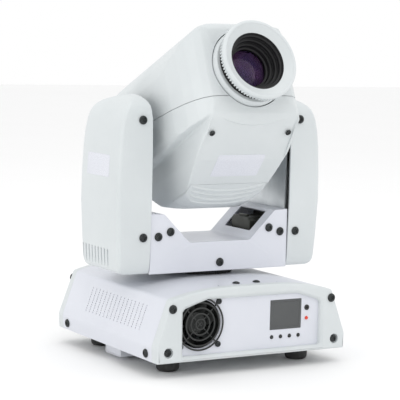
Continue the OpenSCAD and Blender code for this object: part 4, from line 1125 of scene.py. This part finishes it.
lower = boolean(shell, split_box(-0.35, 200))
lower_tree = BVHTree.FromBMesh(lower)
panel_box = bmesh.new()
box_mesh(panel_box, (-53.5, -32, -120), (53.5, 13, -60))
vent = boolean(lower.copy(), panel_box, "INTERSECT")
gap_box = bmesh.new()
box_mesh(gap_box, (-54.1, -32.6, -121), (54.1, 13.6, -60))
lower = boolean(lower, gap_box)
for place in HEAD_SCREWS:
    well = bmesh.new()
    lathe(well, [(0, -10), (2, -10), (2, -0.9), (4.2, -0.9), (4.2, 0.6), (5.0, 3.4), (5.0, 8), (0, 8)], seg=40)
    well.transform(place)
    lower = boolean(lower, well)
head_piece(lower, "lower_head_moulding", "lower_shell")


def on_belly(x, y):
    """The point of the belly below (x, y) and its outward normal."""
    hit, normal = lower_tree.ray_cast(Vector((x, y, -200)), Vector((0, 0, 1)))[:2]
    if hit is None:
        return Vector((x, y, -95)), Vector((0, 0, -1))
    return hit, normal if normal.z < 0 else -normal


# curved step ridges across the panel
RIDGE_STEPS = 28
for y0, half in ((-27.0, 49), (-20.0, 47.5), (-12.5, 46), (-4.5, 44)):
    rings = []
    for i in range(RIDGE_STEPS + 1):
        x = -half + 2 * half * i / RIDGE_STEPS
        p, out = on_belly(x, y0 + 8.0 * (1 - (x / half) ** 2) - 2.5)
        taper = max(0.25, min(1.0, (half - abs(x)) / 5 + 0.25))
        along_belly = Vector(FORWARD)
        along_belly = (along_belly - out * along_belly.dot(out)).normalized()
        rings.append([p + along_belly * (2.1 * math.cos(2 * math.pi * j / 12))
                      + out * (1.25 * taper * math.sin(2 * math.pi * j / 12)) for j in range(12)])
    loft(vent, rings, cap0=True, cap1=True)
head_piece(vent, "ribbed_belly_panel", "vent_panel")

# blank sticker laid on the belly as a thin sheet with its corners eased inward
LABEL = Matrix.Translation((0, -58.4, -70.9)) @ Matrix.Rotation(math.radians(-27.6), 4, "X")
LABEL_W, LABEL_H = 32.5, 16.3
NX, NY = 26, 14


def on_label(i, j, off):
    u, v = -1 + 2 * i / NX, -1 + 2 * j / NY
    corner = (abs(v) > 0.999) * (abs(u) > 0.999)
    q = LABEL @ Vector((LABEL_W * u * (1 - 0.018 * corner), LABEL_H * v * (1 - 0.03 * corner), 0))
    hit, out = on_belly(q.x, q.y)
    return hit + out * off


bm = bmesh.new()
top, bot = [[[bm.verts.new(on_label(i, j, off)) for i in range(NX + 1)] for j in range(NY + 1)]
            for off in (0.22, 0.02)]
for j in range(NY):
    for i in range(NX):
        bm.faces.new((top[j][i], top[j][i + 1], top[j + 1][i + 1], top[j + 1][i]))
        bm.faces.new((bot[j][i], bot[j + 1][i], bot[j + 1][i + 1], bot[j][i + 1]))
for j in range(NY):
    bm.faces.new((top[j][0], top[j + 1][0], bot[j + 1][0], bot[j][0]))
    bm.faces.new((top[j][NX], bot[j][NX], bot[j + 1][NX], top[j + 1][NX]))
for i in range(NX):
    bm.faces.new((top[0][i], bot[0][i], bot[0][i + 1], top[0][i + 1]))
    bm.faces.new((top[NY][i], top[NY][i + 1], bot[NY][i + 1], bot[NY][i]))
head_piece(bm, "blank_head_sticker", "head_label", ("sticker",))


# ------------------------------------------------------------------ optics
def glass_profile(r, back, back_rise, front, front_fall, steps):
    """A lens profile of radius r between two shallow curves."""
    return ([(0, back)] + [(r * i / steps, back + back_rise * (i / steps) ** 2) for i in range(1, steps + 1)]
            + [(r * i / steps, front - front_fall * (i / steps) ** 2) for i in range(steps, 0, -1)]
            + [(0, front)])


bm = bmesh.new()
turn(bm, [(41.6, 116.1), (47.1, 116.1), (47.1, 122.4, 0.8), (46.7, 124.2, 1.2), (46.0, 127.6, 0.7),
          (45.2, 128.2, 0.5), (41.9, 128.2, 0.3), (41.6, 127.6)], OPTIC, FORWARD, 120)
head_piece(bm, "smooth_lens_collar", "lens_collar", sharp=36)

bm = bmesh.new()
prof = [(38.95, 96), (40.9, 96, 0.2)]
for i in range(9):
    u = i * 2.4
    prof += [(40.9, 118 + u), (40.2, 118.9 + u), (40.2, 119.5 + u), (40.9, 120.3 + u)]
turn(bm, prof + [(40.9, 139.6, 0.3), (38.95, 139.6)], OPTIC, FORWARD, 120)
head_piece(bm, "threaded_focus_cell", "focus_cell", ("anodised",), 36, "focus_cell")

bm = bmesh.new()
turn(bm, [(25, 100), (34.9, 100), (34.9, 143), (34.1, 143, 0.3), (33.5, 140, 0.4), (31.6, 139.4, 0.3),
          (31.4, 134, 0.3), (28.8, 133.4, 0.3), (28.4, 127.4, 0.3), (25.8, 126.8, 0.3), (25.4, 121.8, 0.2),
          (23.2, 121.2, 0.3), (23.2, 119.9), (24.2, 118), (24.2, 106), (25, 105)], OPTIC, FORWARD, 120)
# baffle and inner cell behind the front glass, then the step rings
turn(bm, [(11.0, 100.6), (24.6, 100.6), (24.6, 101.6), (12.4, 101.6, 0.3), (11.0, 101.0)], OPTIC, FORWARD, 96)
lathe(bm, [(0, 98.8), (24.8, 98.8), (24.8, 100.2), (0, 100.2)], OPTIC, FORWARD, 96)
for r, u in ((33.6, 141.2), (30.6, 136.2), (27.6, 130.2)):
    turn(bm, [(r, u - 1.1), (r + 0.9, u - 1.1), (r + 0.9, u, 0.25), (r, u, 0.25)], OPTIC, FORWARD, 96)
head_piece(bm, "stepped_lens_barrel", "lens_barrel", ("anodised",), 36, "focus_ring")

bm = bmesh.new()
lathe(bm, glass_profile(24, 107, 3.4, 121.4, 5.2, 12), OPTIC, FORWARD, 120)
lathe(bm, glass_profile(11.8, 101.9, 0.2, 105.4, 2.6, 6), OPTIC, FORWARD, 64)
head_piece(bm, "coated_front_glass", "front_lens", ("lens",), 36, "focus_ring")

# focus ring with a moulded grip round its rear edge
prof = lathe_round([(35, 100), (38.9, 100), (38.9, 140), (47.4, 140, 0.5), (48.95, 140.8, 0.5),
                    (48.95, 144.6, 0.2), (48.5, 145.2, 0.2), (48.9, 146.0, 0.4), (48.6, 148.2, 1.0),
                    (47.0, 149.35, 1.0), (45.2, 149.35, 0.8), (44.2, 148.4, 0.8), (35.8, 143.4, 0.5),
                    (35, 143)], 3)
TEETH, STEPS, NOTCH = 80, 6, 1.7
rings = []
for k in range(TEETH * STEPS):
    a = 2 * math.pi * k / (TEETH * STEPS)
    notch = NOTCH if k % STEPS / STEPS < 0.4 else 0.0
    ring = []
    for r, u in prof:
        d = notch if r > 46.6 and u < 145.0 else 0.0
        ring.append((math.cos(a) * (r - d), -u, OPTIC[2] + math.sin(a) * (r - d)))
    rings.append(ring)
bm = bmesh.new()
loft(bm, rings, True, True)
head_piece(bm, "focus_grip_ring", "focus_ring", sharp=40, body="focus_ring")


# ------------------------------------------------------------------ floor, light and camera
WORLD, KEY, FILL, TOP, LEFT = 1.0, 9.5, 3.0, 5.0, 6.0       # background strength, light powers in watts
CAMERA_AT = (-0.98998, -1.66083, 0.38895)
LOOK_AT = (0, 0, 0.2)


def area_light(name, loc, size, power):
    d = bpy.data.lights.new(name, "AREA")
    d.shape = "RECTANGLE"
    d.size, d.size_y = size
    d.energy = power
    o = bpy.data.objects.new(name, d)
    o.location = loc
    o.rotation_euler = (Vector(LOOK_AT) - Vector(loc)).to_track_quat("-Z", "Y").to_euler()
    scene.collection.objects.link(o)


bm = bmesh.new()
bmesh.ops.create_grid(bm, x_segments=2, y_segments=2, size=9.0)
floor_mesh = bpy.data.meshes.new("studio_floor")
bm.to_mesh(floor_mesh)
bm.free()
floor = bpy.data.objects.new("studio_floor", floor_mesh)
floor.location = (0, 0, -0.0002)
scene.collection.objects.link(floor)
fm, fnt, fbsdf = new_material("studio_floor_paper")
fn = noise_node(fnt, object_coords(fnt), 3.0, 2, 0.5)
fnt.links.new(mix_colour(fnt, fn, (0.93, 0.93, 0.93), (0.945, 0.945, 0.945)), fbsdf.inputs["Base Color"])
fbsdf.inputs["Roughness"].default_value = 0.85
floor_mesh.materials.append(fm)

world = bpy.data.worlds.new("soft_studio")
scene.world = world
world.use_nodes = True
wb = world.node_tree.nodes["Background"]
wb.inputs[0].default_value = (1.0, 1.0, 1.0, 1)
wb.inputs[1].default_value = WORLD
area_light("key", (-0.6, -1.7, 2.9), (1.6, 1.6), KEY)
area_light("fill", (1.9, -1.2, 1.1), (1.5, 1.5), FILL)
area_light("left", (-2.3, -0.7, 0.9), (1.6, 1.6), LEFT)
area_light("top", (0.1, 0.4, 2.4), (1.8, 1.4), TOP)

YAW, PITCH, ROLL = math.radians(30.7487), math.radians(5.9220), math.radians(1.5102)
fwd = Vector((math.sin(YAW) * math.cos(PITCH), math.cos(YAW) * math.cos(PITCH), -math.sin(PITCH)))
right0 = Vector((math.cos(YAW), -math.sin(YAW), 0))
up0 = right0.cross(fwd)
R = right0 * math.cos(ROLL) + up0 * math.sin(ROLL)
U = up0 * math.cos(ROLL) - right0 * math.sin(ROLL)
cam_data = bpy.data.cameras.new("camera")
cam_data.lens = 142.36
cam_data.sensor_width = 36
cam_data.clip_start = 0.05
cam = bpy.data.objects.new("camera", cam_data)
cam.matrix_world = Matrix(((R.x, U.x, -fwd.x, CAMERA_AT[0]), (R.y, U.y, -fwd.y, CAMERA_AT[1]),
                           (R.z, U.z, -fwd.z, CAMERA_AT[2]), (0, 0, 0, 1)))
scene.collection.objects.link(cam)
scene.camera = cam
scene.view_settings.view_transform = "Standard"
